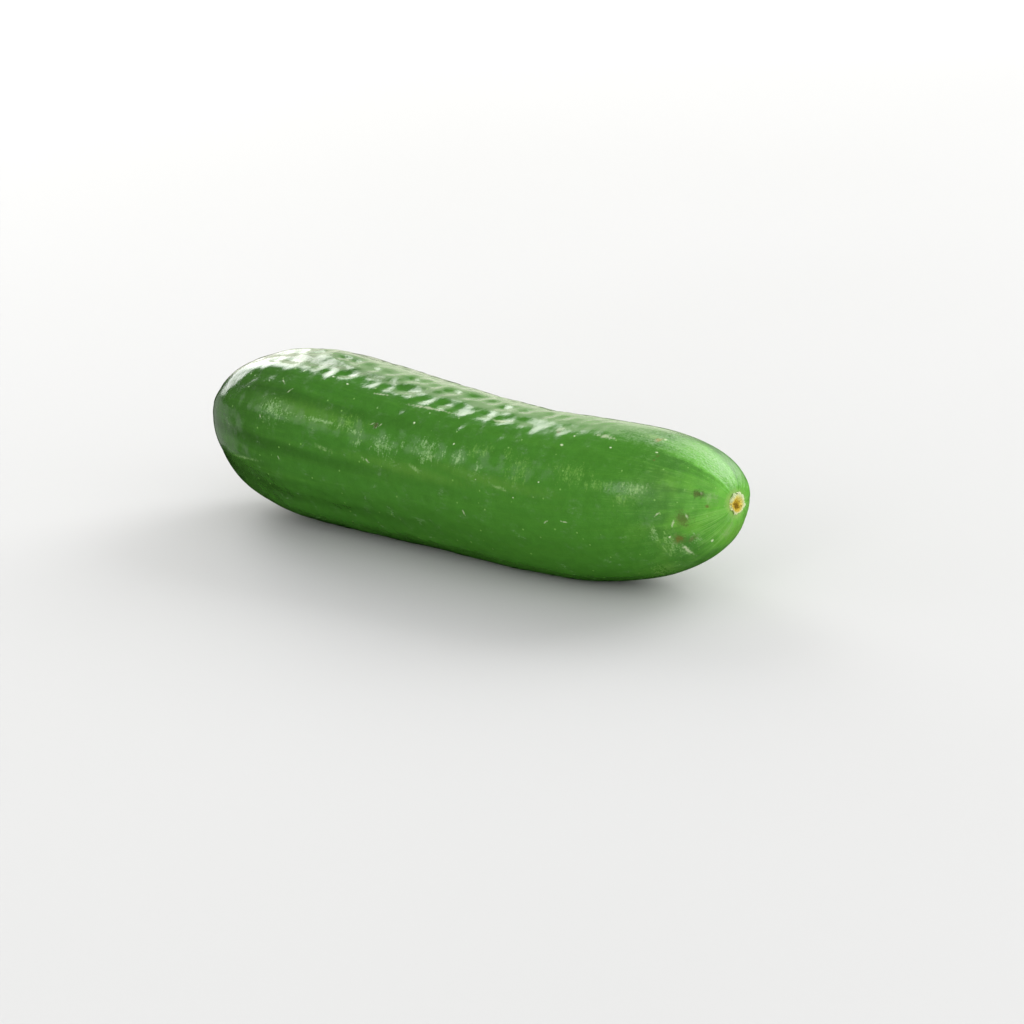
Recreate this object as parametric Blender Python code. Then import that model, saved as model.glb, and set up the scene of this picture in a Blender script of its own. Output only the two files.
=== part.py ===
"""Baby cucumber: a short, gently bent fruit lying on its belly, with its cut stem and its dried flower base.

Metres, +Z up. The fruit lies along X with its blossom end at +X, and the origin is under its middle.
"""
from math import cos, pi, radians, sin
from random import Random

import bmesh
import bpy
import numpy as np

# Length and thickness of the fruit
LENGTH = 0.132             # pole to pole along the middle line
STEM_RADIUS = 0.0184       # the three radii that the outline eases between, before its ends round off
MIDDLE_RADIUS = 0.0160
BLOSSOM_RADIUS = 0.0156
STEM_EASE = 0.60           # share of the length over which the stem's radius runs out
BLOSSOM_EASE = 0.40        # share of the length where the blossom end's radius sets in

# Rounded ends: how far each reaches along the middle line, then the fullness of its shoulder and of its nose
STEM_CAP, STEM_SHOULDER, STEM_NOSE = 0.0350, 2.00, 2.15
BLOSSOM_CAP, BLOSSOM_SHOULDER, BLOSSOM_NOSE = 0.0390, 2.60, 2.20

# Middle line: where it starts, which way it sets off, and its one soft bend up and sideways
STEM_POLE = (-0.06515, 0.00364, 0.0182)
SET_OFF_PITCH = radians(-2.0)
SET_OFF_YAW = radians(-4.7)
BEND_UP = radians(8.0)
BEND_SIDEWAYS = radians(8.8)
BEND_FROM, BEND_TO = 0.53, 0.92

# The blossom end is set askew: its far side reaches further than its near side
ASKEW, ASKEW_FROM = 0.15, 0.78

# Three broad lobes round the fruit
LOBE_COUNT, LOBE_HEIGHT, LOBE_TURN = 3, 0.00038, radians(20)

# Ten low ribs, which set in behind the stem's shoulder and are nearly gone at the blossom end
RIB_COUNT, RIB_HEIGHT, RIB_TURN = 10, 0.00066, radians(9)
RIB_FURROW = 0.20          # how rounded a furrow's bottom is, from 0, a crease, to 1
RIB_MIDDLE = 0.66          # mean of the rib wave, so that ribs leave the mean radius as it is
RIB_SWAY, RIB_SWAYS = radians(1.6), 2.3
RIB_SET_IN, RIB_AT_STEM = 0.22, 0.25
RIB_FADE, RIB_LEFT = 0.80, 0.18

# Rows of shallow oval dimples between and on the ribs
DIMPLE_ROWS, DIMPLE_PITCH = 20, 0.0052
DIMPLE_LENGTH, DIMPLE_WIDTH, DIMPLE_DEPTH = 0.0018, 0.0013, 0.00045
DIMPLES_FROM, DIMPLES_TO = 0.07, 0.80
DIMPLES_SET_IN, DIMPLES_RUN_OUT = (0.03, 0.15), (0.60, 0.82)
DIMPLE_SHIFT, DIMPLE_TURN = 0.22, 0.16
DIMPLE_SEED = 11

RELIEF_FADE = 0.007        # radius over which all this relief sets in from a pole

# Hollows at the two poles, and what sits in them
STEM_HOLLOW_RADIUS, STEM_HOLLOW_DEPTH = 0.0052, 0.0024
BLOSSOM_HOLLOW_RADIUS, BLOSSOM_HOLLOW_DEPTH = 0.0034, 0.0011
STUB_RADIUS, STUB_WAIST = 0.0020, 0.00020
STUB_CORNERS, STUB_CORNER_HEIGHT = 5, 0.00016
STUB_SUNK, STUB_PROUD, STUB_SLANT = 0.0015, 0.0011, 0.00025
REMNANT_RADIUS, REMNANT_THICKNESS, REMNANT_SUNK = 0.0021, 0.00088, 0.00024
REMNANT_CRUMBS, REMNANT_CRUMB_HEIGHT, REMNANT_CRATER = 7, 0.00016, 0.00022

# Fineness of the meshes
FRUIT_COLUMNS, FRUIT_RINGS = 70, 86
RING_CROWDING, RING_CROWDING_REACH = 1.6, 0.004
STUB_COLUMNS, STUB_RINGS = 20, 6
REMNANT_COLUMNS, REMNANT_RINGS = 21, 10
OUTLINE_STEPS = 600
SHARP_EDGE = radians(40)

COLLECTION = "baby_cucumber"


def ease(share):
    """Smooth step from 0 to 1 as the share goes from 0 to 1."""
    share = np.clip(share, 0.0, 1.0)
    return share * share * (3.0 - 2.0 * share)


def ease_between(share, limits):
    """Smooth step from 0 to 1 as the share goes from the lower limit to the upper."""
    return ease((share - limits[0]) / (limits[1] - limits[0]))


def clear_scene():
    """Remove the objects and collections of an earlier run or of a new file."""
    for thing in list(bpy.data.objects):
        bpy.data.objects.remove(thing, do_unlink=True)
    for group in list(bpy.data.collections):
        bpy.data.collections.remove(group)


class MiddleLine:
    """The fruit's bent middle line, with a square frame that follows it."""

    def __init__(self):
        self.along = np.linspace(0.0, LENGTH, OUTLINE_STEPS)
        turned = ease_between(self.along / LENGTH, (BEND_FROM, BEND_TO))
        pitch = SET_OFF_PITCH + BEND_UP * turned
        yaw = SET_OFF_YAW + BEND_SIDEWAYS * turned
        level = np.cos(pitch)
        self.forward = np.stack([level * np.cos(yaw), level * np.sin(yaw), np.sin(pitch)], axis=1)
        self.side = np.stack([-np.sin(yaw), np.cos(yaw), np.zeros_like(yaw)], axis=1)
        step = LENGTH / (OUTLINE_STEPS - 1)
        run = np.cumsum((self.forward[1:] + self.forward[:-1]) * step / 2.0, axis=0)
        self.centre = np.vstack([np.zeros(3), run]) + np.array(STEM_POLE)

    def at(self, along):
        """Centre, forward, side and up at the given distances along the line."""
        centre, forward, side = (
            np.stack([np.interp(along, self.along, table[:, axis]) for axis in range(3)], axis=-1)
            for table in (self.centre, self.forward, self.side))
        return centre, forward, side, np.cross(forward, side)


def outline_radius(along):
    """Radius of the fruit without its relief, at distances along the middle line."""
    share = along / LENGTH
    radius = (MIDDLE_RADIUS + (STEM_RADIUS - MIDDLE_RADIUS) * (1.0 - ease(share / STEM_EASE))
              + (BLOSSOM_RADIUS - MIDDLE_RADIUS) * ease_between(share, (BLOSSOM_EASE, 1.0)))
    to_stem = np.clip(1.0 - along / STEM_CAP, 0.0, 1.0)
    to_blossom = np.clip(1.0 - (LENGTH - along) / BLOSSOM_CAP, 0.0, 1.0)
    radius *= (1.0 - to_stem ** STEM_SHOULDER) ** (1.0 / STEM_NOSE)
    return radius * (1.0 - to_blossom ** BLOSSOM_SHOULDER) ** (1.0 / BLOSSOM_NOSE)


def ring_places(rings):
    """Distances along the middle line of evenly stepped rings, closer together near the poles."""
    along = (1.0 - np.cos(np.linspace(0.0, pi, OUTLINE_STEPS))) * LENGTH / 2.0
    run = np.concatenate([[0.0], np.cumsum(np.hypot(np.diff(along), np.diff(outline_radius(along))))])
    from_pole = np.minimum(run, run[-1] - run)
    crowd = 1.0 + RING_CROWDING * np.exp(-from_pole / RING_CROWDING_REACH)
    count = np.concatenate([[0.0], np.cumsum(np.diff(run) * (crowd[1:] + crowd[:-1]) / 2.0)])
    return np.interp(np.linspace(0.0, count[-1], rings), count, along)


def lobe_height(around):
    """Three broad lobes, which take the section a little out of round."""
    return LOBE_HEIGHT * np.cos(LOBE_COUNT * (around - LOBE_TURN))


def rib_height(share, around):
    """Rounded ribs with narrow furrows, swaying a little along the fruit."""
    swayed = around + RIB_TURN + RIB_SWAY * np.sin(2.0 * pi * RIB_SWAYS * share)
    wave = np.sqrt(np.sin(RIB_COUNT / 2.0 * swayed) ** 2 + RIB_FURROW ** 2)
    left = RIB_LEFT + (1.0 - RIB_LEFT) * (1.0 - ease(share / RIB_FADE))
    set_in = RIB_AT_STEM + (1.0 - RIB_AT_STEM) * ease(share / RIB_SET_IN)
    return RIB_HEIGHT * (wave - RIB_MIDDLE) * left * set_in


def dimples():
    """Place along, place around, depth and size of each dimple, every second row staggered."""
    draw = Random(DIMPLE_SEED)
    per_row = int(LENGTH * (DIMPLES_TO - DIMPLES_FROM) / DIMPLE_PITCH)
    for row in range(DIMPLE_ROWS):
        for number in range(per_row):
            along = LENGTH * DIMPLES_FROM + (number + 0.5 * (row % 2)) * DIMPLE_PITCH
            along += draw.uniform(-DIMPLE_SHIFT, DIMPLE_SHIFT) * DIMPLE_PITCH
            around = 2.0 * pi * (row + draw.uniform(-DIMPLE_TURN, DIMPLE_TURN)) / DIMPLE_ROWS
            yield along, around, DIMPLE_DEPTH * draw.uniform(0.25, 1.0), draw.uniform(0.8, 1.25)


def dimple_depth(along, around, radius):
    """How far the dimples press the skin in at each point."""
    pressed = np.zeros_like(along)
    for place, turn, depth, size in dimples():
        across = (np.mod(around - turn + pi, 2.0 * pi) - pi) * radius
        reach = ((along - place) / (DIMPLE_LENGTH * size)) ** 2 + (across / (DIMPLE_WIDTH * size)) ** 2
        pressed += depth * np.exp(-reach)
    share = along / LENGTH
    return pressed * ease_between(share, DIMPLES_SET_IN) * (1.0 - ease_between(share, DIMPLES_RUN_OUT))


def hollow_depth(radius, hollow_radius, depth):
    """Depth of a round hollow at a pole, at distances from its middle."""
    return depth * np.clip(1.0 - (radius / hollow_radius) ** 2, 0.0, 1.0) ** 2


def skin_points(line, along, around):
    """Points of the skin at distances along the line and angles around it, flat where the fruit rests."""
    radius = outline_radius(along)
    share = along / LENGTH
    relief = lobe_height(around) + rib_height(share, around) - dimple_depth(along, around, radius)
    reach = radius + relief * ease(radius / RELIEF_FADE)
    centre, forward, side, up = line.at(along)
    out = np.cos(around)[:, None] * side + np.sin(around)[:, None] * up
    stem_hollow = hollow_depth(radius, STEM_HOLLOW_RADIUS, STEM_HOLLOW_DEPTH)
    blossom_hollow = hollow_depth(radius, BLOSSOM_HOLLOW_RADIUS, BLOSSOM_HOLLOW_DEPTH)
    inward = np.where(share < 0.5, stem_hollow, -blossom_hollow)
    ahead = inward + ASKEW * reach * np.cos(around) * ease_between(share, (ASKEW_FROM, 1.0))
    points = centre + out * reach[:, None] + forward * ahead[:, None]
    points[:, 2] = np.maximum(points[:, 2], 0.0)
    return points


def finish_object(name, shape, material, group):
    """Make the named object of a shape, dress it, shade it smooth and put it in the group."""
    mesh = bpy.data.meshes.new(name)
    shape.to_mesh(mesh)
    shape.free()
    mesh.materials.append(material)
    mesh.shade_smooth()
    mesh.set_sharp_from_angle(angle=SHARP_EDGE)
    group.objects.link(bpy.data.objects.new(name, mesh))


def principled(name, colour, roughness, coat=0.0):
    """A plain Principled material."""
    material = bpy.data.materials.new(name)
    material.use_nodes = True
    shader = material.node_tree.nodes["Principled BSDF"]
    shader.inputs["Base Color"].default_value = (*colour, 1.0)
    shader.inputs["Roughness"].default_value = roughness
    shader.inputs["Metallic"].default_value = 0.0
    shader.inputs["Coat Weight"].default_value = coat
    return material


def skin_material():
    """Glossy, lightly waxed green skin."""
    return principled("cucumber_skin", (0.055, 0.205, 0.022), 0.32, coat=0.3)


def stem_material():
    """Dull, dry, pale green stem."""
    return principled("cut_stem", (0.24, 0.27, 0.10), 0.75)


def flower_material():
    """Corky cream and orange remains of the flower."""
    return principled("dried_flower", (0.62, 0.42, 0.14), 0.85)


def add_fruit(line, group):
    """The whole green fruit: a globe of rings drawn out along the middle line."""
    globe = bmesh.new()
    bmesh.ops.create_uvsphere(globe, u_segments=FRUIT_COLUMNS, v_segments=FRUIT_RINGS - 1, radius=1.0)
    start = np.array([vertex.co[:] for vertex in globe.verts])
    polar = np.arccos(np.clip(start[:, 2], -1.0, 1.0))
    ring = np.rint((1.0 - polar / pi) * (FRUIT_RINGS - 1)).astype(int)
    points = skin_points(line, ring_places(FRUIT_RINGS)[ring], np.arctan2(start[:, 1], start[:, 0]))
    for vertex, point in zip(globe.verts, points):
        vertex.co = point
    finish_object("fruit", globe, skin_material(), group)


def stand_on_pole(shape, line, along, outward, askew=0.0):
    """Turn a shape modelled along +Z to point out of the fruit's pole, and put it there."""
    centre, forward, side, up = (row[0] for row in line.at(np.array([along])))
    axes = np.stack([side + askew * forward, outward * up, outward * (forward - askew * side)])
    axes /= np.linalg.norm(axes, axis=1)[:, None]
    for vertex in shape.verts:
        vertex.co = np.array(vertex.co[:]) @ axes + centre


def add_stem_stub(line, group):
    """The short cut stem: a five-cornered peg with a slight waist, its cut face slanted a little."""
    height = STUB_SUNK + STUB_PROUD
    peg = bmesh.new()
    bmesh.ops.create_cone(peg, cap_ends=True, segments=STUB_COLUMNS, radius1=STUB_RADIUS, radius2=STUB_RADIUS,
                          depth=height)
    upright = [edge for edge in peg.edges if abs(edge.verts[0].co.z - edge.verts[1].co.z) > height / 2.0]
    bmesh.ops.subdivide_edges(peg, edges=upright, cuts=STUB_RINGS - 2)
    for vertex in peg.verts:
        turn = np.arctan2(vertex.co.y, vertex.co.x)
        rise = (vertex.co.z + height / 2.0) / height
        radius = STUB_RADIUS + STUB_CORNER_HEIGHT * cos(STUB_CORNERS * turn) - STUB_WAIST * sin(pi * rise)
        slant = STUB_SLANT * rise * sin(turn)
        vertex.co = (radius * cos(turn), radius * sin(turn), rise * height - STUB_SUNK + slant)
    stand_on_pole(peg, line, 0.0, -1.0)
    finish_object("stem_stub", peg, stem_material(), group)


def add_flower_remnant(line, group):
    """The dried base of the flower: a small crumbly button with a sunken middle."""
    button = bmesh.new()
    bmesh.ops.create_uvsphere(button, u_segments=REMNANT_COLUMNS, v_segments=REMNANT_RINGS, radius=1.0)
    for vertex in button.verts:
        x, y, z = vertex.co
        out = min(1.0, float(np.hypot(x, y)))
        crumb = REMNANT_CRUMB_HEIGHT * sin(REMNANT_CRUMBS * np.arctan2(y, x)) * out ** 2
        crater = REMNANT_CRATER * (1.0 - out) ** 2
        height = z * REMNANT_THICKNESS / 2.0 - REMNANT_SUNK + (crumb - crater if z > 0.0 else 0.0)
        vertex.co = (x * (REMNANT_RADIUS + crumb), y * (REMNANT_RADIUS + crumb), height)
    stand_on_pole(button, line, LENGTH, 1.0, askew=ASKEW)
    finish_object("flower_remnant", button, flower_material(), group)


def build_cucumber():
    """Make the three pieces in their collection."""
    clear_scene()
    group = bpy.data.collections.new(COLLECTION)
    bpy.context.scene.collection.children.link(group)
    line = MiddleLine()
    add_fruit(line, group)
    add_stem_stub(line, group)
    add_flower_remnant(line, group)


build_cucumber()
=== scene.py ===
"""The finished look of a baby cucumber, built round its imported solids.

The fruit, its dried flower base and its cut stem are each modelled afresh as fine meshes, on the sizes and
formulas of their solids. They are dressed in node materials and shown on a pale floor under soft light.
Metres, +Z up. The fruit lies along X with its blossom end at +X.

Places on the skin are given the way a grower would: how far along from the stem, and how far around, where
90 degrees is the top, 180 faces the camera and 270 is the belly.
"""
import logging
from dataclasses import dataclass
from enum import Enum
from math import cos, pi, radians, sin, tan, tau
from random import Random
from typing import Callable, Sequence, Union

import bmesh
import bpy
import numpy as np
from mathutils import Matrix, Vector


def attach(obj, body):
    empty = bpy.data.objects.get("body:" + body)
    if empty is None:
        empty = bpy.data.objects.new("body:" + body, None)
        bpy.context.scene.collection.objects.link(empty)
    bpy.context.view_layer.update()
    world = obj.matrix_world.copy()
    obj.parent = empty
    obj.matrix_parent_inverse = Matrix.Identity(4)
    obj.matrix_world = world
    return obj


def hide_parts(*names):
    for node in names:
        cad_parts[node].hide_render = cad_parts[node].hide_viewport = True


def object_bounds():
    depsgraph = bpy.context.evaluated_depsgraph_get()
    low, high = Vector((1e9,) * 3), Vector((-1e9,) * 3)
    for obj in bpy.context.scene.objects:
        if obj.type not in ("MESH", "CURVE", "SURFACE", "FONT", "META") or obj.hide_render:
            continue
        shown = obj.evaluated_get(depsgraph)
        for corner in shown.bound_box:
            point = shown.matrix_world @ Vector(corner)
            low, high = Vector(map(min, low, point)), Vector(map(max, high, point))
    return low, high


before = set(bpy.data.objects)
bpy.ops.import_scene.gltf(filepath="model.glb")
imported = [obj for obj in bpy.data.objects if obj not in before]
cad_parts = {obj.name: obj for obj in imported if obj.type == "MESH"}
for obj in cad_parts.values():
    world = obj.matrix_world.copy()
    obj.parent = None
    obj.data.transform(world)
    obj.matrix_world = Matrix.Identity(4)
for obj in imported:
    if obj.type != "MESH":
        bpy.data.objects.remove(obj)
CAD_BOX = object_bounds()

MM = 0.001
LOG = logging.getLogger("baby_cucumber")

Colour = tuple[float, float, float]


# Smooth steps and smooth noise

def ease(share: np.ndarray) -> np.ndarray:
    """Step smoothly from 0 to 1 as the share goes from 0 to 1.

    Args:
        share: Any numbers; those below 0 and above 1 count as 0 and 1.

    Returns:
        The eased shares.
    """
    share = np.clip(share, 0.0, 1.0)
    return share * share * (3.0 - 2.0 * share)


def ease_between(share: np.ndarray, limits: tuple[float, float]) -> np.ndarray:
    """Step smoothly from 0 to 1 as the share goes from the lower limit to the upper.

    Args:
        share: Any numbers.
        limits: Where the step starts and where it ends.

    Returns:
        The eased shares.
    """
    return ease((share - limits[0]) / (limits[1] - limits[0]))


@dataclass(frozen=True)
class Ripple:
    """A smooth random field: many small waves of like length that run every way."""

    shortest: float
    longest: float
    seed: int
    waves: int = 40

    def at(self, places: np.ndarray) -> np.ndarray:
        """Sum the waves at the given places.

        Args:
            places: One point a row, in the unit of the wave lengths.

        Returns:
            The field's height at each point, with a root mean square of 1.
        """
        draw = np.random.default_rng(self.seed)
        ways = draw.normal(size=(self.waves, 3))
        ways /= np.linalg.norm(ways, axis=1)[:, None]
        ways *= tau / draw.uniform(self.shortest, self.longest, self.waves)[:, None]
        phases = draw.uniform(0.0, tau, self.waves)
        total = np.zeros(len(places))
        for way, phase in zip(ways, phases):
            total += np.sin(places @ way + phase)
        return total * np.sqrt(2.0 / self.waves)


# The fruit's form, as in its solid

@dataclass(frozen=True)
class RoundedEnd:
    """How the outline closes at one end."""

    reach: float
    shoulder: float
    nose: float

    def fullness(self, from_pole: np.ndarray) -> np.ndarray:
        """Share of the full radius that is left at distances from the pole."""
        nearness = np.clip(1.0 - from_pole / self.reach, 0.0, 1.0)
        return (1.0 - nearness ** self.shoulder) ** (1.0 / self.nose)


@dataclass(frozen=True)
class Hollow:
    """A round hollow at a pole."""

    radius: float
    depth: float

    def sunk(self, radius: np.ndarray) -> np.ndarray:
        """How far the skin is sunk at distances from the hollow's middle."""
        return self.depth * np.clip(1.0 - (radius / self.radius) ** 2, 0.0, 1.0) ** 2


@dataclass
class MiddleLine:
    """The fruit's bent middle line, with a square frame that follows it."""

    length: float = 0.132
    stem_pole: tuple[float, float, float] = (-0.06515, 0.00364, 0.0182)
    set_off_pitch: float = radians(-2.0)
    set_off_yaw: float = radians(-4.7)
    bend_up: float = radians(8.0)
    bend_sideways: float = radians(8.8)
    bend_limits: tuple[float, float] = (0.53, 0.92)
    askew: float = 0.15        # at the blossom end the far side reaches further, by this share of its reach
    askew_from: float = 0.78
    steps: int = 600

    def __post_init__(self) -> None:
        """Run the line out from the stem's pole."""
        self.along = np.linspace(0.0, self.length, self.steps)
        turned = ease_between(self.along / self.length, self.bend_limits)
        pitch = self.set_off_pitch + self.bend_up * turned
        yaw = self.set_off_yaw + self.bend_sideways * turned
        level = np.cos(pitch)
        self.forward = np.stack([level * np.cos(yaw), level * np.sin(yaw), np.sin(pitch)], axis=1)
        self.side = np.stack([-np.sin(yaw), np.cos(yaw), np.zeros_like(yaw)], axis=1)
        step = self.length / (self.steps - 1)
        run = np.cumsum((self.forward[1:] + self.forward[:-1]) * step / 2.0, axis=0)
        self.centre = np.vstack([np.zeros(3), run]) + np.array(self.stem_pole)

    def at(self, along: np.ndarray) -> tuple[np.ndarray, np.ndarray, np.ndarray, np.ndarray]:
        """Read the line at distances along it.

        Args:
            along: Distances from the stem's pole.

        Returns:
            Centre, forward, side and up, one row for each distance.
        """
        centre, forward, side = (
            np.stack([np.interp(along, self.along, table[:, axis]) for axis in range(3)], axis=-1)
            for table in (self.centre, self.forward, self.side))
        return centre, forward, side, np.cross(forward, side)

    def set_askew(self, share: np.ndarray, sideways: np.ndarray) -> np.ndarray:
        """How far points are carried forward because the blossom end is set askew.

        Args:
            share: Place of each point along the fruit, as a share of its length.
            sideways: Distance of each point from the middle line towards the far side.

        Returns:
            The distance forward.
        """
        return self.askew * sideways * ease_between(share, (self.askew_from, 1.0))

    def pole_axes(self, at_blossom: bool) -> tuple[np.ndarray, np.ndarray]:
        """Find the frame in which a pole's own piece is modelled, upright along its third axis.

        Args:
            at_blossom: True for the blossom's pole, False for the stem's.

        Returns:
            Three rows that turn the piece's axes into the fruit's frame, and the pole itself.
        """
        along = np.array([self.length if at_blossom else 0.0])
        centre, forward, side, up = (row[0] for row in self.at(along))
        outward, askew = (1.0, self.askew) if at_blossom else (-1.0, 0.0)
        axes = np.stack([side + askew * forward, outward * up, outward * (forward - askew * side)])
        return axes / np.linalg.norm(axes, axis=1)[:, None], centre


@dataclass(frozen=True)
class Outline:
    """The fruit's radius along its middle line, without any relief."""

    length: float = 0.132
    stem_radius: float = 0.0184
    middle_radius: float = 0.0160
    blossom_radius: float = 0.0156
    stem_ease: float = 0.60
    blossom_ease: float = 0.40
    stem_end: RoundedEnd = RoundedEnd(0.0350, 2.00, 2.15)
    blossom_end: RoundedEnd = RoundedEnd(0.0390, 2.60, 2.20)

    def radius(self, along: np.ndarray) -> np.ndarray:
        """Work out the radius.

        Args:
            along: Distances along the middle line.

        Returns:
            The radius at each.
        """
        share = along / self.length
        to_stem = 1.0 - ease(share / self.stem_ease)
        to_blossom = ease_between(share, (self.blossom_ease, 1.0))
        radius = (self.middle_radius + (self.stem_radius - self.middle_radius) * to_stem
                  + (self.blossom_radius - self.middle_radius) * to_blossom)
        return radius * self.stem_end.fullness(along) * self.blossom_end.fullness(self.length - along)

    def ring_places(self, rings: int, crowding: float, crowding_reach: float,
                    steps: int = 1200) -> np.ndarray:
        """Space rings evenly over the skin, and closer together near the poles.

        Args:
            rings: How many rings there are, with both poles.
            crowding: How much closer they stand at a pole.
            crowding_reach: How far from a pole that wears off.
            steps: How finely the outline is measured.

        Returns:
            The rings' distances along the middle line.
        """
        along = (1.0 - np.cos(np.linspace(0.0, pi, steps))) * self.length / 2.0
        run = np.concatenate([[0.0], np.cumsum(np.hypot(np.diff(along), np.diff(self.radius(along))))])
        crowd = 1.0 + crowding * np.exp(-np.minimum(run, run[-1] - run) / crowding_reach)
        count = np.concatenate([[0.0], np.cumsum(np.diff(run) * (crowd[1:] + crowd[:-1]) / 2.0)])
        return np.interp(np.linspace(0.0, count[-1], rings), count, along)


@dataclass(frozen=True)
class Ribs:
    """Three broad lobes, and ten low ribs that set in behind the stem and fade towards the blossom."""

    lobes: int = 3
    lobe_height: float = 0.38 * MM
    lobe_turn: float = radians(20)
    count: int = 10
    height: float = 0.66 * MM
    turn: float = radians(9)
    furrow: float = 0.20
    middle: float = 0.66
    sway: float = radians(1.6)
    sways: float = 2.3
    set_in: float = 0.22
    at_stem: float = 0.25
    fade: float = 0.80
    left: float = 0.18

    def wave(self, share: np.ndarray, around: np.ndarray) -> np.ndarray:
        """The ribs' wave, about 1 on a rib and nearly 0 in a furrow."""
        swayed = around + self.turn + self.sway * np.sin(tau * self.sways * share)
        return np.sqrt(np.sin(self.count / 2.0 * swayed) ** 2 + self.furrow ** 2)

    def strength(self, share: np.ndarray) -> np.ndarray:
        """Share of the ribs' height that is left along the fruit."""
        set_in = self.at_stem + (1.0 - self.at_stem) * ease(share / self.set_in)
        return (self.left + (1.0 - self.left) * (1.0 - ease(share / self.fade))) * set_in

    def raised(self, share: np.ndarray, around: np.ndarray) -> np.ndarray:
        """Height of lobes and ribs over the plain outline."""
        lobes = self.lobe_height * np.cos(self.lobes * (around - self.lobe_turn))
        return lobes + self.height * (self.wave(share, around) - self.middle) * self.strength(share)


@dataclass(frozen=True)
class Dimple:
    """One oval dimple: its place, its depth and its half lengths along and across."""

    along: float
    around: float
    depth: float
    length: float
    width: float


@dataclass(frozen=True)
class DimpleRows:
    """Rows of shallow oval dimples, every second row staggered."""

    rows: int = 20
    pitch: float = 5.2 * MM
    length: float = 1.9 * MM
    width: float = 1.45 * MM
    depth: float = 0.50 * MM
    depth_shares: tuple[float, float] = (0.55, 1.0)
    size_shares: tuple[float, float] = (0.8, 1.25)
    limits: tuple[float, float] = (0.07, 0.80)
    set_in: tuple[float, float] = (0.03, 0.15)
    run_out: tuple[float, float] = (0.60, 0.82)
    shift: float = 0.22
    turn: float = 0.16
    deepest: float = radians(98)
    on_flanks: float = 0.35
    seed: int = 11

    def strength(self, around: np.ndarray) -> np.ndarray:
        """Share of the dimples' depth around the fruit: whole along the top, less on the flanks and belly."""
        return self.on_flanks + (1.0 - self.on_flanks) * (0.5 + 0.5 * np.cos(around - self.deepest)) ** 6

    def dimples(self, fruit_length: float) -> list[Dimple]:
        """Draw the dimples, in the same order as in the solid.

        Args:
            fruit_length: Length of the fruit's middle line.

        Returns:
            The dimples.
        """
        draw = Random(self.seed)
        per_row = int(fruit_length * (self.limits[1] - self.limits[0]) / self.pitch)
        made = []
        for row in range(self.rows):
            for number in range(per_row):
                along = fruit_length * self.limits[0] + (number + 0.5 * (row % 2)) * self.pitch
                along += draw.uniform(-self.shift, self.shift) * self.pitch
                around = tau * (row + draw.uniform(-self.turn, self.turn)) / self.rows
                depth = self.depth * draw.uniform(*self.depth_shares)
                size = draw.uniform(*self.size_shares)
                made.append(Dimple(along, around, depth, self.length * size, self.width * size))
        return made


@dataclass(frozen=True)
class LittleDents:
    """Small shallow dents strewn between the rows of dimples."""

    count: int = 420
    length: tuple[float, float] = (0.5 * MM, 1.1 * MM)
    slimness: tuple[float, float] = (0.6, 1.0)
    depth: tuple[float, float] = (0.02 * MM, 0.09 * MM)
    limits: tuple[float, float] = (0.08, 0.84)
    seed: int = 5

    def dimples(self, fruit_length: float) -> list[Dimple]:
        """Draw the dents.

        Args:
            fruit_length: Length of the fruit's middle line.

        Returns:
            The dents.
        """
        draw = Random(self.seed)
        made = []
        for _ in range(self.count):
            length = draw.uniform(*self.length)
            made.append(Dimple(fruit_length * draw.uniform(*self.limits), draw.uniform(0.0, tau),
                               draw.uniform(*self.depth), length, length * draw.uniform(*self.slimness)))
        return made


def pressed_in(dimples: Sequence[Dimple], along: np.ndarray, around: np.ndarray,
               radius: np.ndarray) -> np.ndarray:
    """Press a set of dimples into the skin.

    Args:
        dimples: What is pressed in.
        along: Distance of each point along the fruit.
        around: Angle of each point around the fruit.
        radius: The fruit's radius at each point.

    Returns:
        The depth at each point.
    """
    depth = np.zeros_like(along)
    reach = 4.0
    for dimple in dimples:
        near = np.flatnonzero(np.abs(along - dimple.along) < reach * dimple.length)
        across = (np.mod(around[near] - dimple.around + pi, tau) - pi) * radius[near]
        away = ((along[near] - dimple.along) / dimple.length) ** 2 + (across / dimple.width) ** 2
        depth[near] += dimple.depth * np.exp(-away)
    return depth


@dataclass(frozen=True)
class Folds:
    """Uneven folds that radiate from a pole."""

    counts: tuple[int, ...]    # how many folds each of the waves has
    height: float
    limits: tuple[float, float]  # the radii between which they show
    seed: int
    lean: float = 0.25
    edge: float = 0.6 * MM
    core: float = 0.6

    def raised(self, around: np.ndarray, radius: np.ndarray) -> np.ndarray:
        """Work out their height.

        Args:
            around: Angle of each point.
            radius: Distance of each point from the pole's axis.

        Returns:
            The height at each point.
        """
        draw = Random(self.seed)
        total = np.zeros_like(around)
        for count in self.counts:
            lean = draw.uniform(-self.lean, self.lean)
            total += np.cos(count * around + draw.uniform(0.0, tau) + lean * radius / MM)
        nearest, farthest = self.limits
        window = ease_between(radius, (nearest, nearest + self.edge))
        window *= 1.0 - ease_between(radius, ((nearest + farthest) / 2.0 * self.core, farthest))
        return self.height * (total * np.sqrt(2.0 / len(self.counts)) * window)


# Marks on the skin

@dataclass(frozen=True)
class MarkLook:
    """Colour and feel of one kind of mark."""

    colour: Colour
    cover: float               # how much of the skin's own colour it hides
    edge: float                # softness of its edge, as a share of its size
    ragged: float              # how far noise carries its edge in and out, as a share of its size
    roughness: float
    height: float = 0.0
    thin: float = 0.0          # how far noise breaks it up within its edge
    broad: bool = False        # wide enough to be measured at the mesh's points


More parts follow.
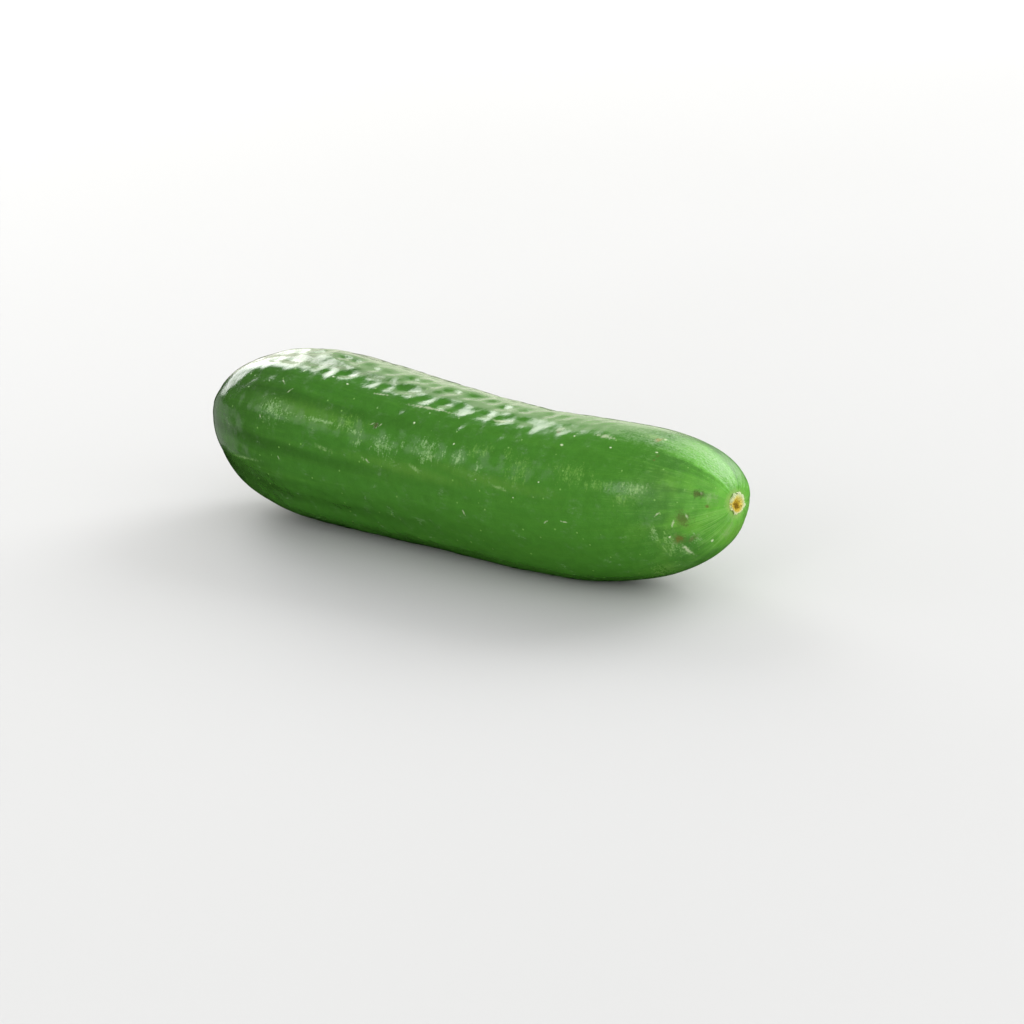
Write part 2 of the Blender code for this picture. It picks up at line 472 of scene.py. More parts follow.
class MarkKind(Enum):
    """Kinds of mark that a season in the field leaves on the skin, and pale marks that paint reflections and
    highlights on it.
    """

    # Painted reflection: the broken pale band along the flank
    PAINTED_REFLECTION_BAND = MarkLook((0.135, 0.310, 0.040), 0.40, 0.90, 1.60, 0.26, thin=0.2, broad=True)
    # Pale patches of frost, lace and blanched skin; along the flank they also paint the band's reflection
    FROST_AND_REFLECTION = MarkLook((0.34, 0.57, 0.23), 0.66, 0.70, 5.00, 0.40, thin=0.8, broad=True)
    LACE_AND_REFLECTION = MarkLook((0.190, 0.420, 0.070), 0.60, 0.70, 4.60, 0.34, thin=0.9, broad=True)
    BLANCHED_AND_REFLECTION = MarkLook((0.27, 0.47, 0.15), 0.60, 0.70, 2.60, 0.42, thin=0.5, broad=True)
    OLIVE = MarkLook((0.092, 0.150, 0.018), 0.78, 0.70, 2.40, 0.45, thin=0.1, broad=True)
    # Scuffs and scratches, and also painted highlight strokes on the ribs' edges
    SCUFF_AND_GLINT = MarkLook((0.48, 0.58, 0.34), 0.75, 0.55, 2.60, 0.55, thin=0.4)
    PIT = MarkLook((0.085, 0.090, 0.016), 0.70, 0.60, 2.40, 0.60, -0.10 * MM)
    FRECKLE = MarkLook((0.135, 0.145, 0.018), 0.80, 0.60, 2.20, 0.50, thin=0.1)
    SCAB = MarkLook((0.40, 0.32, 0.09), 0.85, 0.60, 3.20, 0.75, 0.10 * MM, thin=0.3)
    SPECK = MarkLook((0.66, 0.80, 0.48), 0.95, 0.60, 1.40, 0.40, 0.05 * MM, thin=0.15)


@dataclass(frozen=True)
class SkinMark:
    """One mark: its place in millimetres along and degrees around, its half lengths, and its turn."""

    kind: MarkKind
    along: float
    around: float
    length: float
    width: float
    turn: float = 0.0          # degrees from the fruit's length towards the top
    deep: float = 6.0          # its half size through the skin

    def frame(self, outline: Outline) -> tuple[Vector, Matrix]:
        """Find where the mark lies on the straightened fruit.

        Args:
            outline: The fruit's outline.

        Returns:
            The mark's middle, in millimetres, and its own axes as columns.
        """
        around = radians(self.around)
        radius = float(outline.radius(np.array([self.along * MM]))[0]) / MM
        ahead = Vector((1.0, 0.0, 0.0))
        outward = Vector((0.0, cos(around), sin(around)))
        turned = Matrix.Rotation(radians(self.turn), 3, outward)
        axes = Matrix([turned @ ahead, turned @ outward.cross(ahead), outward]).transposed()
        return ahead * self.along + outward * radius, axes

    def away(self, places: np.ndarray, outline: Outline) -> np.ndarray:
        """Measure how far points are from the mark's middle.

        Args:
            places: Points on the straightened fruit, one a row, in millimetres.
            outline: The fruit's outline.

        Returns:
            The distances, in the mark's half sizes.
        """
        middle, axes = self.frame(outline)
        own = (places - np.array(middle)) @ np.array(axes)
        return np.linalg.norm(own / np.array([self.length, self.width, self.deep]), axis=1)


SKIN_MARKS = (
    # The broken pale band along the flank, a painted reflection
    SkinMark(MarkKind.PAINTED_REFLECTION_BAND, 38.5, 143.8, 13.5, 1.9),
    SkinMark(MarkKind.PAINTED_REFLECTION_BAND, 66.0, 163.5, 15.0, 1.2),
    SkinMark(MarkKind.PAINTED_REFLECTION_BAND, 86.0, 157.5, 14.0, 1.1, -3),
    SkinMark(MarkKind.FROST_AND_REFLECTION, 29.0, 147.5, 3.4, 2.3),
    SkinMark(MarkKind.FROST_AND_REFLECTION, 41.0, 146.8, 10.0, 0.42, 1),
    SkinMark(MarkKind.FROST_AND_REFLECTION, 50.7, 147.8, 2.2, 0.42, -10),
    SkinMark(MarkKind.FROST_AND_REFLECTION, 52.5, 154.6, 0.8, 1.0),
    SkinMark(MarkKind.FROST_AND_REFLECTION, 59.0, 152.5, 2.9, 1.9),
    SkinMark(MarkKind.FROST_AND_REFLECTION, 63.6, 146.0, 0.5, 1.4, 15),
    SkinMark(MarkKind.FROST_AND_REFLECTION, 70.2, 147.8, 3.0, 2.2),
    SkinMark(MarkKind.FROST_AND_REFLECTION, 74.1, 146.3, 0.8, 1.2),
    SkinMark(MarkKind.FROST_AND_REFLECTION, 78.2, 147.2, 1.4, 1.7),
    SkinMark(MarkKind.FROST_AND_REFLECTION, 83.4, 149.9, 0.7, 1.8, 10),
    SkinMark(MarkKind.LACE_AND_REFLECTION, 48.5, 142.5, 4.5, 1.6),
    SkinMark(MarkKind.LACE_AND_REFLECTION, 81.0, 139.5, 1.8, 1.4),
    SkinMark(MarkKind.LACE_AND_REFLECTION, 83.4, 138.5, 2.6, 1.7, 20),
    SkinMark(MarkKind.LACE_AND_REFLECTION, 89.6, 136.5, 1.7, 1.1),
    SkinMark(MarkKind.LACE_AND_REFLECTION, 93.1, 147.0, 3.2, 2.6),
    SkinMark(MarkKind.LACE_AND_REFLECTION, 104.7, 144.5, 4.8, 2.2),
    SkinMark(MarkKind.LACE_AND_REFLECTION, 110.5, 151.0, 4.5, 1.2),
    SkinMark(MarkKind.LACE_AND_REFLECTION, 116.1, 160.9, 2.8, 1.4),
    SkinMark(MarkKind.FROST_AND_REFLECTION, 118.8, 151.5, 2.2, 1.1),
    SkinMark(MarkKind.BLANCHED_AND_REFLECTION, 118.9, 151.5, 2.4, 1.2),
    SkinMark(MarkKind.BLANCHED_AND_REFLECTION, 71.6, 150.5, 1.0, 0.5),
    SkinMark(MarkKind.BLANCHED_AND_REFLECTION, 89.1, 161.1, 2.0, 0.4, -8),
    SkinMark(MarkKind.BLANCHED_AND_REFLECTION, 43.4, 163.8, 2.6, 0.5, -6),
    SkinMark(MarkKind.BLANCHED_AND_REFLECTION, 54.5, 164.1, 1.2, 0.4, -30),
    SkinMark(MarkKind.BLANCHED_AND_REFLECTION, 68.0, 161.6, 1.7, 0.5, -20),
    SkinMark(MarkKind.BLANCHED_AND_REFLECTION, 21.0, 187.0, 6.0, 0.35, 8),
    # The wart above the band
    SkinMark(MarkKind.PIT, 55.4, 140.0, 0.45, 0.50),
    SkinMark(MarkKind.SCUFF_AND_GLINT, 56.4, 138.8, 0.16, 0.60, -25),
    SkinMark(MarkKind.SCUFF_AND_GLINT, 54.4, 139.2, 0.55, 0.15, 38),
    # Painted highlights between the ribs' bright edges and the dark upper flank, a freckle, and scuffs and
    # glints lower on the flank
    SkinMark(MarkKind.SCUFF_AND_GLINT, 65.0, 116.8, 6.5, 0.40, 5),
    SkinMark(MarkKind.SCUFF_AND_GLINT, 82.5, 110.5, 2.6, 0.55, 12),
    SkinMark(MarkKind.SCUFF_AND_GLINT, 97.2, 109.0, 1.3, 0.75, 14),
    SkinMark(MarkKind.SCUFF_AND_GLINT, 108.2, 109.8, 2.4, 0.60, -3),
    SkinMark(MarkKind.FRECKLE, 97.5, 112.4, 0.55, 0.28),
    SkinMark(MarkKind.SCUFF_AND_GLINT, 30.8, 132.6, 0.9, 0.14, 50),
    SkinMark(MarkKind.SCUFF_AND_GLINT, 25.8, 154.0, 0.7, 0.16, -40),
    SkinMark(MarkKind.SCUFF_AND_GLINT, 80.4, 184.8, 0.8, 0.24, -60),
    SkinMark(MarkKind.SCUFF_AND_GLINT, 99.6, 180.0, 0.85, 0.16, 34),
    SkinMark(MarkKind.SCUFF_AND_GLINT, 103.6, 179.0, 0.95, 0.17, -8),
    SkinMark(MarkKind.SCUFF_AND_GLINT, 31.6, 178.0, 0.5, 0.14, -60),
    SkinMark(MarkKind.SCUFF_AND_GLINT, 55.2, 164.2, 0.8, 0.20, -30),
    # Above and before the blossom
    SkinMark(MarkKind.BLANCHED_AND_REFLECTION, 116.5, 95.5, 2.4, 1.2),
    SkinMark(MarkKind.SCAB, 117.9, 97.3, 0.80, 1.05),
    SkinMark(MarkKind.SPECK, 118.9, 94.2, 0.26, 0.30),
    SkinMark(MarkKind.OLIVE, 120.5, 118.5, 0.35, 0.40),
    SkinMark(MarkKind.FRECKLE, 120.4, 123.8, 0.22, 0.18),
    SkinMark(MarkKind.PIT, 128.9, 149.8, 0.62, 0.62),
    SkinMark(MarkKind.SCUFF_AND_GLINT, 129.3, 147.2, 0.16, 0.42, 20),
    SkinMark(MarkKind.BLANCHED_AND_REFLECTION, 130.3, 152.0, 0.75, 1.2),
    SkinMark(MarkKind.FRECKLE, 130.0, 168.5, 0.28, 0.34),
    # The mottled patch below the blossom
    SkinMark(MarkKind.OLIVE, 126.7, 181.6, 1.0, 1.5),
    SkinMark(MarkKind.SCUFF_AND_GLINT, 127.3, 178.0, 0.20, 0.95, 10),
    SkinMark(MarkKind.SCUFF_AND_GLINT, 125.1, 184.5, 0.22, 0.75, -25),
    SkinMark(MarkKind.OLIVE, 125.1, 205.6, 1.1, 1.1, 20),
    SkinMark(MarkKind.FRECKLE, 125.1, 205.0, 0.72, 0.62, 20),
    SkinMark(MarkKind.BLANCHED_AND_REFLECTION, 125.1, 224.5, 0.60, 3.0, 4),
    SkinMark(MarkKind.OLIVE, 126.8, 212.0, 0.75, 0.45, 20),
    SkinMark(MarkKind.BLANCHED_AND_REFLECTION, 123.5, 210.5, 0.55, 0.60),
    SkinMark(MarkKind.BLANCHED_AND_REFLECTION, 121.3, 190.0, 0.35, 1.3, -20),
    SkinMark(MarkKind.LACE_AND_REFLECTION, 123.2, 205.0, 2.6, 4.2),
    SkinMark(MarkKind.FROST_AND_REFLECTION, 123.6, 208.0, 1.4, 2.4),
    SkinMark(MarkKind.FROST_AND_REFLECTION, 121.3, 194.0, 0.9, 1.6, -20),
    SkinMark(MarkKind.FROST_AND_REFLECTION, 127.0, 214.0, 0.9, 1.6),
    SkinMark(MarkKind.SCUFF_AND_GLINT, 125.2, 223.0, 0.30, 2.1, 6),
    SkinMark(MarkKind.LACE_AND_REFLECTION, 119.0, 240.0, 6.0, 3.6),
    SkinMark(MarkKind.SCUFF_AND_GLINT, 122.9, 173.0, 0.75, 0.16, 40),
    SkinMark(MarkKind.BLANCHED_AND_REFLECTION, 130.4, 246.0, 0.8, 1.2),
    # Scratches, painted glints and specks strewn over the flank
    SkinMark(MarkKind.SCUFF_AND_GLINT, 52.1, 116.8, 2.2, 0.25, 8),
    SkinMark(MarkKind.SCUFF_AND_GLINT, 27.7, 127.3, 0.8, 0.20, -30),
    SkinMark(MarkKind.SPECK, 38.5, 114.0, 0.22, 0.18),
    SkinMark(MarkKind.SPECK, 43.0, 116.5, 0.26, 0.20),
    SkinMark(MarkKind.SPECK, 63.9, 131.0, 0.26, 0.24),
    SkinMark(MarkKind.SPECK, 75.7, 138.3, 0.18, 0.20),
    SkinMark(MarkKind.SPECK, 83.3, 158.5, 0.15, 0.13),
    SkinMark(MarkKind.SPECK, 92.5, 166.0, 0.16, 0.13),
    SkinMark(MarkKind.SPECK, 98.0, 153.0, 0.20, 0.15),
    SkinMark(MarkKind.SPECK, 100.2, 123.9, 0.34, 0.24),
    SkinMark(MarkKind.SPECK, 101.7, 114.5, 0.18, 0.18),
    SkinMark(MarkKind.SPECK, 110.9, 120.2, 0.22, 0.18),
    SkinMark(MarkKind.SPECK, 120.0, 115.0, 0.26, 0.20),
    SkinMark(MarkKind.SPECK, 128.8, 232.6, 0.20, 0.26),
    SkinMark(MarkKind.SPECK, 123.8, 199.4, 0.20, 0.20),
)


# Node graphs

class Wire:
    """One output of a node, which adds, multiplies and so on like a number."""

    def __init__(self, bench: "NodeBench", socket: bpy.types.NodeSocket) -> None:
        """Remember the socket and the bench that it is on."""
        self.bench = bench
        self.socket = socket

    def __add__(self, other: "Number") -> "Wire":
        """Add a wire or a number."""
        return self.bench.math("ADD", self, other)

    def __sub__(self, other: "Number") -> "Wire":
        """Take away a wire or a number."""
        return self.bench.math("SUBTRACT", self, other)

    def __rsub__(self, other: float) -> "Wire":
        """Take this wire away from a number."""
        return self.bench.math("SUBTRACT", other, self)

    def __mul__(self, other: "Number") -> "Wire":
        """Multiply by a wire or a number."""
        return self.bench.math("MULTIPLY", self, other)

    def __truediv__(self, other: "Number") -> "Wire":
        """Divide by a wire or a number."""
        return self.bench.math("DIVIDE", self, other)

    def __abs__(self) -> "Wire":
        """Drop the sign."""
        return self.bench.math("ABSOLUTE", self)

    __radd__ = __add__


Number = Union[float, Wire]


class NodeBench:
    """Lays out a node tree by short calls, each of which returns the new node's output."""

    COLUMNS = 12
    CELL = (220, -280)
    MIX_SHARE, MIX_FIRST, MIX_SECOND, MIX_RESULT = 0, 6, 7, 2      # a colour mix's sockets, by number

    def __init__(self, tree: bpy.types.NodeTree) -> None:
        """Clear the tree."""
        self.tree = tree
        tree.nodes.clear()

    def node(self, kind: str, inputs: dict[Union[str, int], object], **settings: object) -> bpy.types.Node:
        """Add a node.

        Args:
            kind: The node's type.
            inputs: Wires or plain values, by socket name or number.
            settings: The node's own properties.

        Returns:
            The node.
        """
        made = self.tree.nodes.new(kind)
        row, column = divmod(len(self.tree.nodes) - 1, self.COLUMNS)
        made.location = (column * self.CELL[0], row * self.CELL[1])
        for name, value in settings.items():
            setattr(made, name, value)
        for key, value in inputs.items():
            if isinstance(value, Wire):
                self.tree.links.new(value.socket, made.inputs[key])
            else:
                made.inputs[key].default_value = value
        return made

    def out(self, made: bpy.types.Node, output: Union[str, int] = 0) -> Wire:
        """Take one output of a node as a wire."""
        return Wire(self, made.outputs[output])

    def math(self, operation: str, *values: Number) -> Wire:
        """Work out a sum, product or other operation on numbers."""
        return self.out(self.node("ShaderNodeMath", dict(enumerate(values)), operation=operation))

    def vector(self, operation: str, *values: object, output: str = "Vector") -> Wire:
        """Work out an operation on vectors."""
        made = self.node("ShaderNodeVectorMath", dict(enumerate(values)), operation=operation)
        return self.out(made, output)

    def scaled(self, vector: Wire, by: Union[float, tuple[float, float, float]]) -> Wire:
        """Scale a vector, the same or differently along each axis."""
        factors = by if isinstance(by, tuple) else (by, by, by)
        return self.vector("MULTIPLY", vector, factors)

    def attribute(self, name: str, output: str = "Vector") -> Wire:
        """Read a mesh attribute."""
        return self.out(self.node("ShaderNodeAttribute", {}, attribute_name=name), output)

    def parts(self, vector: Wire) -> tuple[Wire, Wire, Wire]:
        """Split a vector into its three numbers."""
        split = self.node("ShaderNodeSeparateXYZ", {0: vector})
        return self.out(split, 0), self.out(split, 1), self.out(split, 2)

    def noise(self, place: Wire, scale: float, detail: float = 2.0, roughness: float = 0.5) -> Wire:
        """Smooth noise from 0 to 1, about a half on average."""
        return self.out(self.node("ShaderNodeTexNoise", {
            "Vector": place, "Scale": scale, "Detail": detail, "Roughness": roughness}))

    def cells(self, place: Wire, scale: float) -> Wire:
        """Scattered points: the distance to the nearest, in cells."""
        return self.out(self.node("ShaderNodeTexVoronoi", {"Vector": place, "Scale": scale}), "Distance")

    def remap(self, value: Number, low: float, high: float, to_low: float = 0.0,
              to_high: float = 1.0) -> Wire:
        """Step smoothly between two values as another goes from low to high.

        Args:
            value: What steers the step.
            low: Where the step starts.
            high: Where it ends, which may be below its start.
            to_low: The result at the start.
            to_high: The result at the end.

        Returns:
            The result.
        """
        flip = low > high
        return self.out(self.node("ShaderNodeMapRange", {
            "Value": value, "From Min": high if flip else low, "From Max": low if flip else high,
            "To Min": to_high if flip else to_low, "To Max": to_low if flip else to_high,
        }, interpolation_type="SMOOTHSTEP"))

    def ramp(self, value: Number, stops: Sequence[tuple[float, Colour]]) -> Wire:
        """Run through colours that blend from stop to stop.

        Args:
            value: Where along the stops, from 0 to 1.
            stops: Places and colours.

        Returns:
            The colour.
        """
        made = self.node("ShaderNodeValToRGB", {0: value})
        elements = made.color_ramp.elements
        while len(elements) < len(stops):
            elements.new(1.0)
        for element, (place, colour) in zip(elements, stops):
            element.position = place
            element.color = (*colour, 1.0)
        return self.out(made)

    def mix(self, share: Number, first: object, second: object) -> Wire:
        """Blend two colours.

        Args:
            share: Share of the second.
            first: A wire or a plain colour.
            second: A wire or a plain colour.

        Returns:
            The blend.
        """
        first, second = ((*side, 1.0) if isinstance(side, tuple) else side for side in (first, second))
        inputs = {self.MIX_SHARE: share, self.MIX_FIRST: first, self.MIX_SECOND: second}
        return self.out(self.node("ShaderNodeMix", inputs, data_type="RGBA"), self.MIX_RESULT)

    def shade(self, colour: Wire, by: Wire) -> Wire:
        """Make a colour lighter or darker by a factor."""
        made = self.node("ShaderNodeVectorMath", {"Vector": colour, "Scale": by}, operation="SCALE")
        return self.out(made, "Vector")

    def bump(self, height: Wire) -> Wire:
        """Turn a height in metres into a bent normal."""
        return self.out(self.node("ShaderNodeBump", {"Strength": 1.0, "Distance": 1.0, "Height": height}))


def new_material(name: str) -> tuple[bpy.types.Material, NodeBench]:
    """Make a material with an empty node tree.

    Args:
        name: The material's name.

    Returns:
        The material, and the bench that lays out its nodes.
    """
    material = bpy.data.materials.new(name)
    material.use_nodes = True
    return material, NodeBench(material.node_tree)


def close_material(bench: NodeBench, colour: object, roughness: Number, normal: Wire,
                   **others: Number) -> None:
    """End a material in a Principled shader.

    Args:
        bench: The material's nodes.
        colour: Base colour.
        roughness: Roughness.
        normal: Bent normal.
        others: Other sockets, by name with underscores for blanks.
    """
    inputs = {name.replace("_", " "): value for name, value in others.items()}
    shader = bench.node("ShaderNodeBsdfPrincipled", {
        "Base Color": colour, "Roughness": roughness, "Normal": normal, "Coat Normal": normal, **inputs})
    bench.node("ShaderNodeOutputMaterial", {"Surface": bench.out(shader)})


@dataclass(frozen=True)
class SkinFinish:
    """Waxed green skin: streaked, mottled, paler at the blossom end, with a thin broken film of wax and a
    painted sheen on its upper side towards the blossom.
    """

    tones: tuple[tuple[float, Colour], ...] = (
        (0.00, (0.042, 0.108, 0.018)),
        (0.10, (0.042, 0.130, 0.018)),
        (0.30, (0.052, 0.188, 0.021)),
        (0.68, (0.058, 0.208, 0.022)),
        (0.935, (0.060, 0.220, 0.022)),
        (1.00, (0.130, 0.465, 0.034)),
    )
    light_streak: Colour = (0.11, 0.32, 0.034)
    vein: Colour = (0.28, 0.55, 0.13)
    crease: Colour = (0.045, 0.150, 0.020)
    # pale colour of the wax film, and of the painted sheen above the blossom
    sheen_and_bloom: Colour = (0.36, 0.52, 0.30)
    yellow: Colour = (0.16, 0.35, 0.028)
    halo: Colour = (0.36, 0.56, 0.15)
    streaked: float = 0.16                 # how much of the skin's own colour each of these hides
    streaked_at_blossom: float = 0.30
    veined: float = 0.35
    pinched_light: float = 0.65
    pinched_dark: float = 0.30
    yellowed: float = 0.28
    painted_sheen_cover: float = 0.42
    haloed: float = 0.6
    filmed: float = 0.12
    specked: float = 0.55
    furrow_shade: float = 0.30             # how far each of these makes the skin darker or lighter
    mottle_shade: float = 0.36
    grain_shade: float = 0.24
    dust_shade: float = 0.20
    peel: float = 0.040                    # heights of the skin's own relief, in millimetres
    stroke: float = 0.024
    grain: float = 0.014
    grain_at_blossom: float = 0.036
    dust: float = 0.003
    dust_at_blossom: float = 0.015
    speck: float = 0.02
    roughness: float = 0.18
    film_roughness: float = 0.14
    mottle_roughness: float = 0.10
    dust_roughness: float = 0.08
    blossom_roughness: float = 0.20
    coat: float = 0.28
    coat_at_blossom: float = 0.05
    coat_roughness: float = 0.07
    refraction: float = 1.46

    def marked(self, bench: NodeBench, place: Wire, ragged: Wire, colour: Wire, roughness: Wire, height: Wire,
               outline: Outline) -> tuple[Wire, Wire, Wire]:
        """Lay the marks over the skin, kind by kind.

        Args:
            bench: The material's nodes.
            place: Places on the straightened fruit, in millimetres.
            ragged: Noise from -0.5 to 0.5 that frays the marks' edges.
            colour: The skin's colour so far.
            roughness: Its roughness so far.
            height: Its height so far, in metres.
            outline: The fruit's outline, which gives the marks' distance from the middle line.

        Returns:
            Colour, roughness and height with the marks.
        """
        for kind in MarkKind:
            look = kind.value
            nearest = bench.attribute(kind.name.lower(), "Fac") if look.broad else None
            for mark in (mark for mark in SKIN_MARKS if mark.kind is kind and not look.broad):
                middle, axes = mark.frame(outline)
                local = bench.out(bench.node("ShaderNodeMapping", {
                    "Vector": place, "Location": middle, "Rotation": axes.to_euler(),
                    "Scale": (mark.length, mark.width, mark.deep),
                }, vector_type="TEXTURE"))
                away = bench.vector("LENGTH", local, output="Value")
                nearest = away if nearest is None else bench.math("MINIMUM", nearest, away)
            frayed = nearest + ragged * (2.0 * look.ragged) + look.thin
            cover = bench.remap(frayed, 1.0 + look.edge, 1.0 - look.edge)
            colour = bench.mix(cover * look.cover, colour, look.colour)
            roughness = roughness + cover * look.cover * (look.roughness - self.roughness)
            if look.height:
                height = height + cover * look.height
        return colour, roughness, height

    def material(self, outline: Outline) -> bpy.types.Material:
        """Make the skin's material.

        Args:
            outline: The fruit's outline, which places the marks.

        Returns:
            The material, on the attributes that the fruit's mesh carries.
        """
        material, bench = new_material("cucumber_skin")
        place = bench.scaled(bench.attribute("straight"), 1.0 / MM)
        spoke = bench.attribute("spoke")
        furrow = bench.attribute("furrow", "Fac")
        along = bench.parts(place)[0] / (outline.length / MM)

        broad_streak = bench.noise(bench.scaled(spoke, (1.0, 1.0, 0.40)), 9.0, 3.0, 0.55)
        fine_streak = bench.noise(bench.scaled(spoke, (1.0, 1.0, 0.30)), 42.0, 2.0, 0.6)
        cloud = bench.noise(place, 0.11, 3.0, 0.55)
        mottle = bench.noise(place, 0.55, 3.0, 0.6)
        grain = bench.noise(place, 2.6, 2.0, 0.6)
        dust = bench.noise(place, 7.0, 2.0, 0.65)

        # The green, from the stem's dark end to the pale blossom end, with a painted sheen that makes its
        # upper side paler towards the blossom
        upward = bench.parts(spoke)[1]
        ragged_up = upward + (mottle - 0.5) * 0.10 + (grain - 0.5) * 0.05
        painted_sheen_on_top = bench.remap(ragged_up, 0.875, 0.975) * bench.remap(along, 0.66, 0.82)
        shifted = along + (cloud - 0.5) * 0.12 + (broad_streak - 0.5) * 0.07 + painted_sheen_on_top * 0.050
        colour = bench.ramp(shifted, self.tones)

        # Streaks and veins, which run in to the blossom
        to_blossom = bench.remap(along, 0.78, 1.0)
        streaks = bench.remap(broad_streak * 0.6 + fine_streak * 0.4, 0.46, 0.68)
        colour = bench.mix(streaks * (self.streaked + to_blossom * self.streaked_at_blossom), colour,
                           self.light_streak)
        veins = bench.remap(abs(fine_streak - 0.5), 0.030, 0.004) * bench.remap(mottle, 0.40, 0.62)
        colour = bench.mix(veins * to_blossom * self.veined, colour, self.vein)
        below = 0.25 + bench.remap(upward, 0.35, -0.25) * 0.75
        pinched = bench.remap(along, 0.955, 0.992) * below
        colour = bench.mix(pinched * bench.remap(fine_streak, 0.50, 0.62) * self.pinched_light, colour,
                           self.vein)
        colour = bench.mix(pinched * bench.remap(fine_streak, 0.44, 0.34) * self.pinched_dark, colour,
                           self.crease)
        yellow = bench.remap(along, 0.84, 0.98) * bench.remap(cloud, 0.45, 0.65)
        colour = bench.mix(yellow * self.yellowed, colour, self.yellow)

        # A painted sheen above the blossom, and the pale halo round the flower's remnant
        sheen_and_bloom = bench.remap(ragged_up, 0.915, 0.985) * bench.remap(along, 0.78, 0.90)
        sheen_and_bloom = sheen_and_bloom * bench.remap(grain * 0.6 + fine_streak * 0.4, 0.36, 0.62)
        colour = bench.mix(sheen_and_bloom * self.painted_sheen_cover, colour, self.sheen_and_bloom)
        off_pole = bench.vector("LENGTH", bench.scaled(place, (0.0, 1.0, 1.0)), output="Value")
        halo = bench.remap(off_pole + (grain - 0.5) * 1.6, 3.3, 1.9) * bench.remap(along, 0.9, 0.95)
        colour = bench.mix(halo * self.haloed, colour, self.halo)

        # Light and shade, the broken film of wax, and fine specks
        in_furrow = bench.remap(along, 0.75, 0.35) * furrow
        uneven = 1.0 + (mottle - 0.5) * self.mottle_shade + (grain - 0.5) * self.grain_shade
        uneven = uneven + (dust - 0.5) * self.dust_shade
        colour = bench.shade(colour, (1.0 - in_furrow * self.furrow_shade) * uneven)
        patches = bench.remap(bench.noise(place, 0.30, 4.0, 0.62), 0.50, 0.72)
        rubbed = bench.remap(bench.noise(bench.scaled(place, (0.5, 1.0, 1.0)), 1.5, 3.0, 0.65), 0.40, 0.66)
        film = patches * rubbed
        colour = bench.mix(film * self.filmed, colour, self.sheen_and_bloom)
        specks = bench.remap(bench.cells(place, 0.42), 0.10, 0.055)
        colour = bench.mix(specks * self.specked, colour, self.vein)

        # Gloss and relief, both duller and rougher near the blossom
        dull = bench.remap(along, 0.86, 0.95)
        roughness = (self.roughness + film * self.film_roughness + (mottle - 0.5) * self.mottle_roughness
                     + (dust - 0.5) * self.dust_roughness + dull * self.blossom_roughness)
        peel = bench.noise(place, 0.8, 2.0, 0.5)
        strokes = bench.noise(bench.scaled(place, (2.4, 1.0, 1.0)), 0.65, 3.0, 0.6)
        height = (peel * self.peel + strokes * self.stroke
                  + grain * (self.grain + dull * self.grain_at_blossom)
                  + dust * (self.dust + dull * self.dust_at_blossom) + specks * self.speck) * MM
        ragged = strokes * 0.40 + grain * 0.35 + dust * 0.25 - 0.5
        colour, roughness, height = self.marked(bench, place, ragged, colour, roughness, height, outline)
        coat = bench.remap(along, 0.45, 0.82, self.coat, self.coat_at_blossom)
        close_material(bench, colour, roughness, bench.bump(height), Coat_Weight=coat,
                       Coat_Roughness=self.coat_roughness, IOR=self.refraction)
        return material


@dataclass(frozen=True)
class CorkFinish:
    """Dry crumbly flower base: cream at the rim, yellow within, and burnt orange in its heart."""

    stops: tuple[tuple[float, Colour], ...] = (
        (0.00, (0.22, 0.125, 0.004)),
        (0.22, (0.38, 0.240, 0.006)),
        (0.40, (0.72, 0.52, 0.035)),
        (0.66, (0.76, 0.68, 0.17)),
        (1.00, (0.64, 0.73, 0.42)),
    )
    heart: tuple[float, float] = (-0.50, -0.25)
    reach: float = 2.3
    crevice: Colour = (0.24, 0.145, 0.006)
    creviced: float = 0.6
    fringe: Colour = (0.66, 0.74, 0.44)
    fringed: float = 0.85
    fringe_from: tuple[float, float] = (1.45, 1.80)
    crumble_height: float = 0.16
    grain_height: float = 0.07
    roughness: float = 0.82

    def material(self) -> bpy.types.Material:
        """Make the cork's material.

        Returns:
            The material, on the piece's own coordinates in millimetres.
        """
        material, bench = new_material("dried_flower_cork")
        place = bench.attribute("button")
        low = bench.attribute("sunk", "Fac")
        flat = bench.scaled(bench.vector("SUBTRACT", place, (*self.heart, 0.0)), (1.0, 1.0, 0.0))
        away = bench.vector("LENGTH", flat, output="Value") / self.reach
        crumble = bench.noise(place, 3.2, 4.0, 0.65)
        grain = bench.noise(place, 14.0, 3.0, 0.7)
        colour = bench.ramp(away + (crumble - 0.5) * 0.60 + (grain - 0.5) * 0.25, self.stops)
        off_middle = bench.vector("LENGTH", bench.scaled(place, (1.0, 1.0, 0.0)), output="Value")
        fringe = bench.remap(off_middle + (crumble - 0.5) * 0.9 + (grain - 0.5) * 0.4, *self.fringe_from)
        colour = bench.mix(fringe * self.fringed, colour, self.fringe)
        crevices = bench.remap(low + (grain - 0.5) * 0.5, 0.60, 1.1)
        colour = bench.mix(crevices * self.creviced, colour, self.crevice)
        colour = bench.shade(colour, 1.0 + (grain - 0.5) * 0.5)
        height = (crumble * self.crumble_height + grain * self.grain_height) * MM
        close_material(bench, colour, self.roughness + (grain - 0.5) * 0.2, bench.bump(height))
        return material


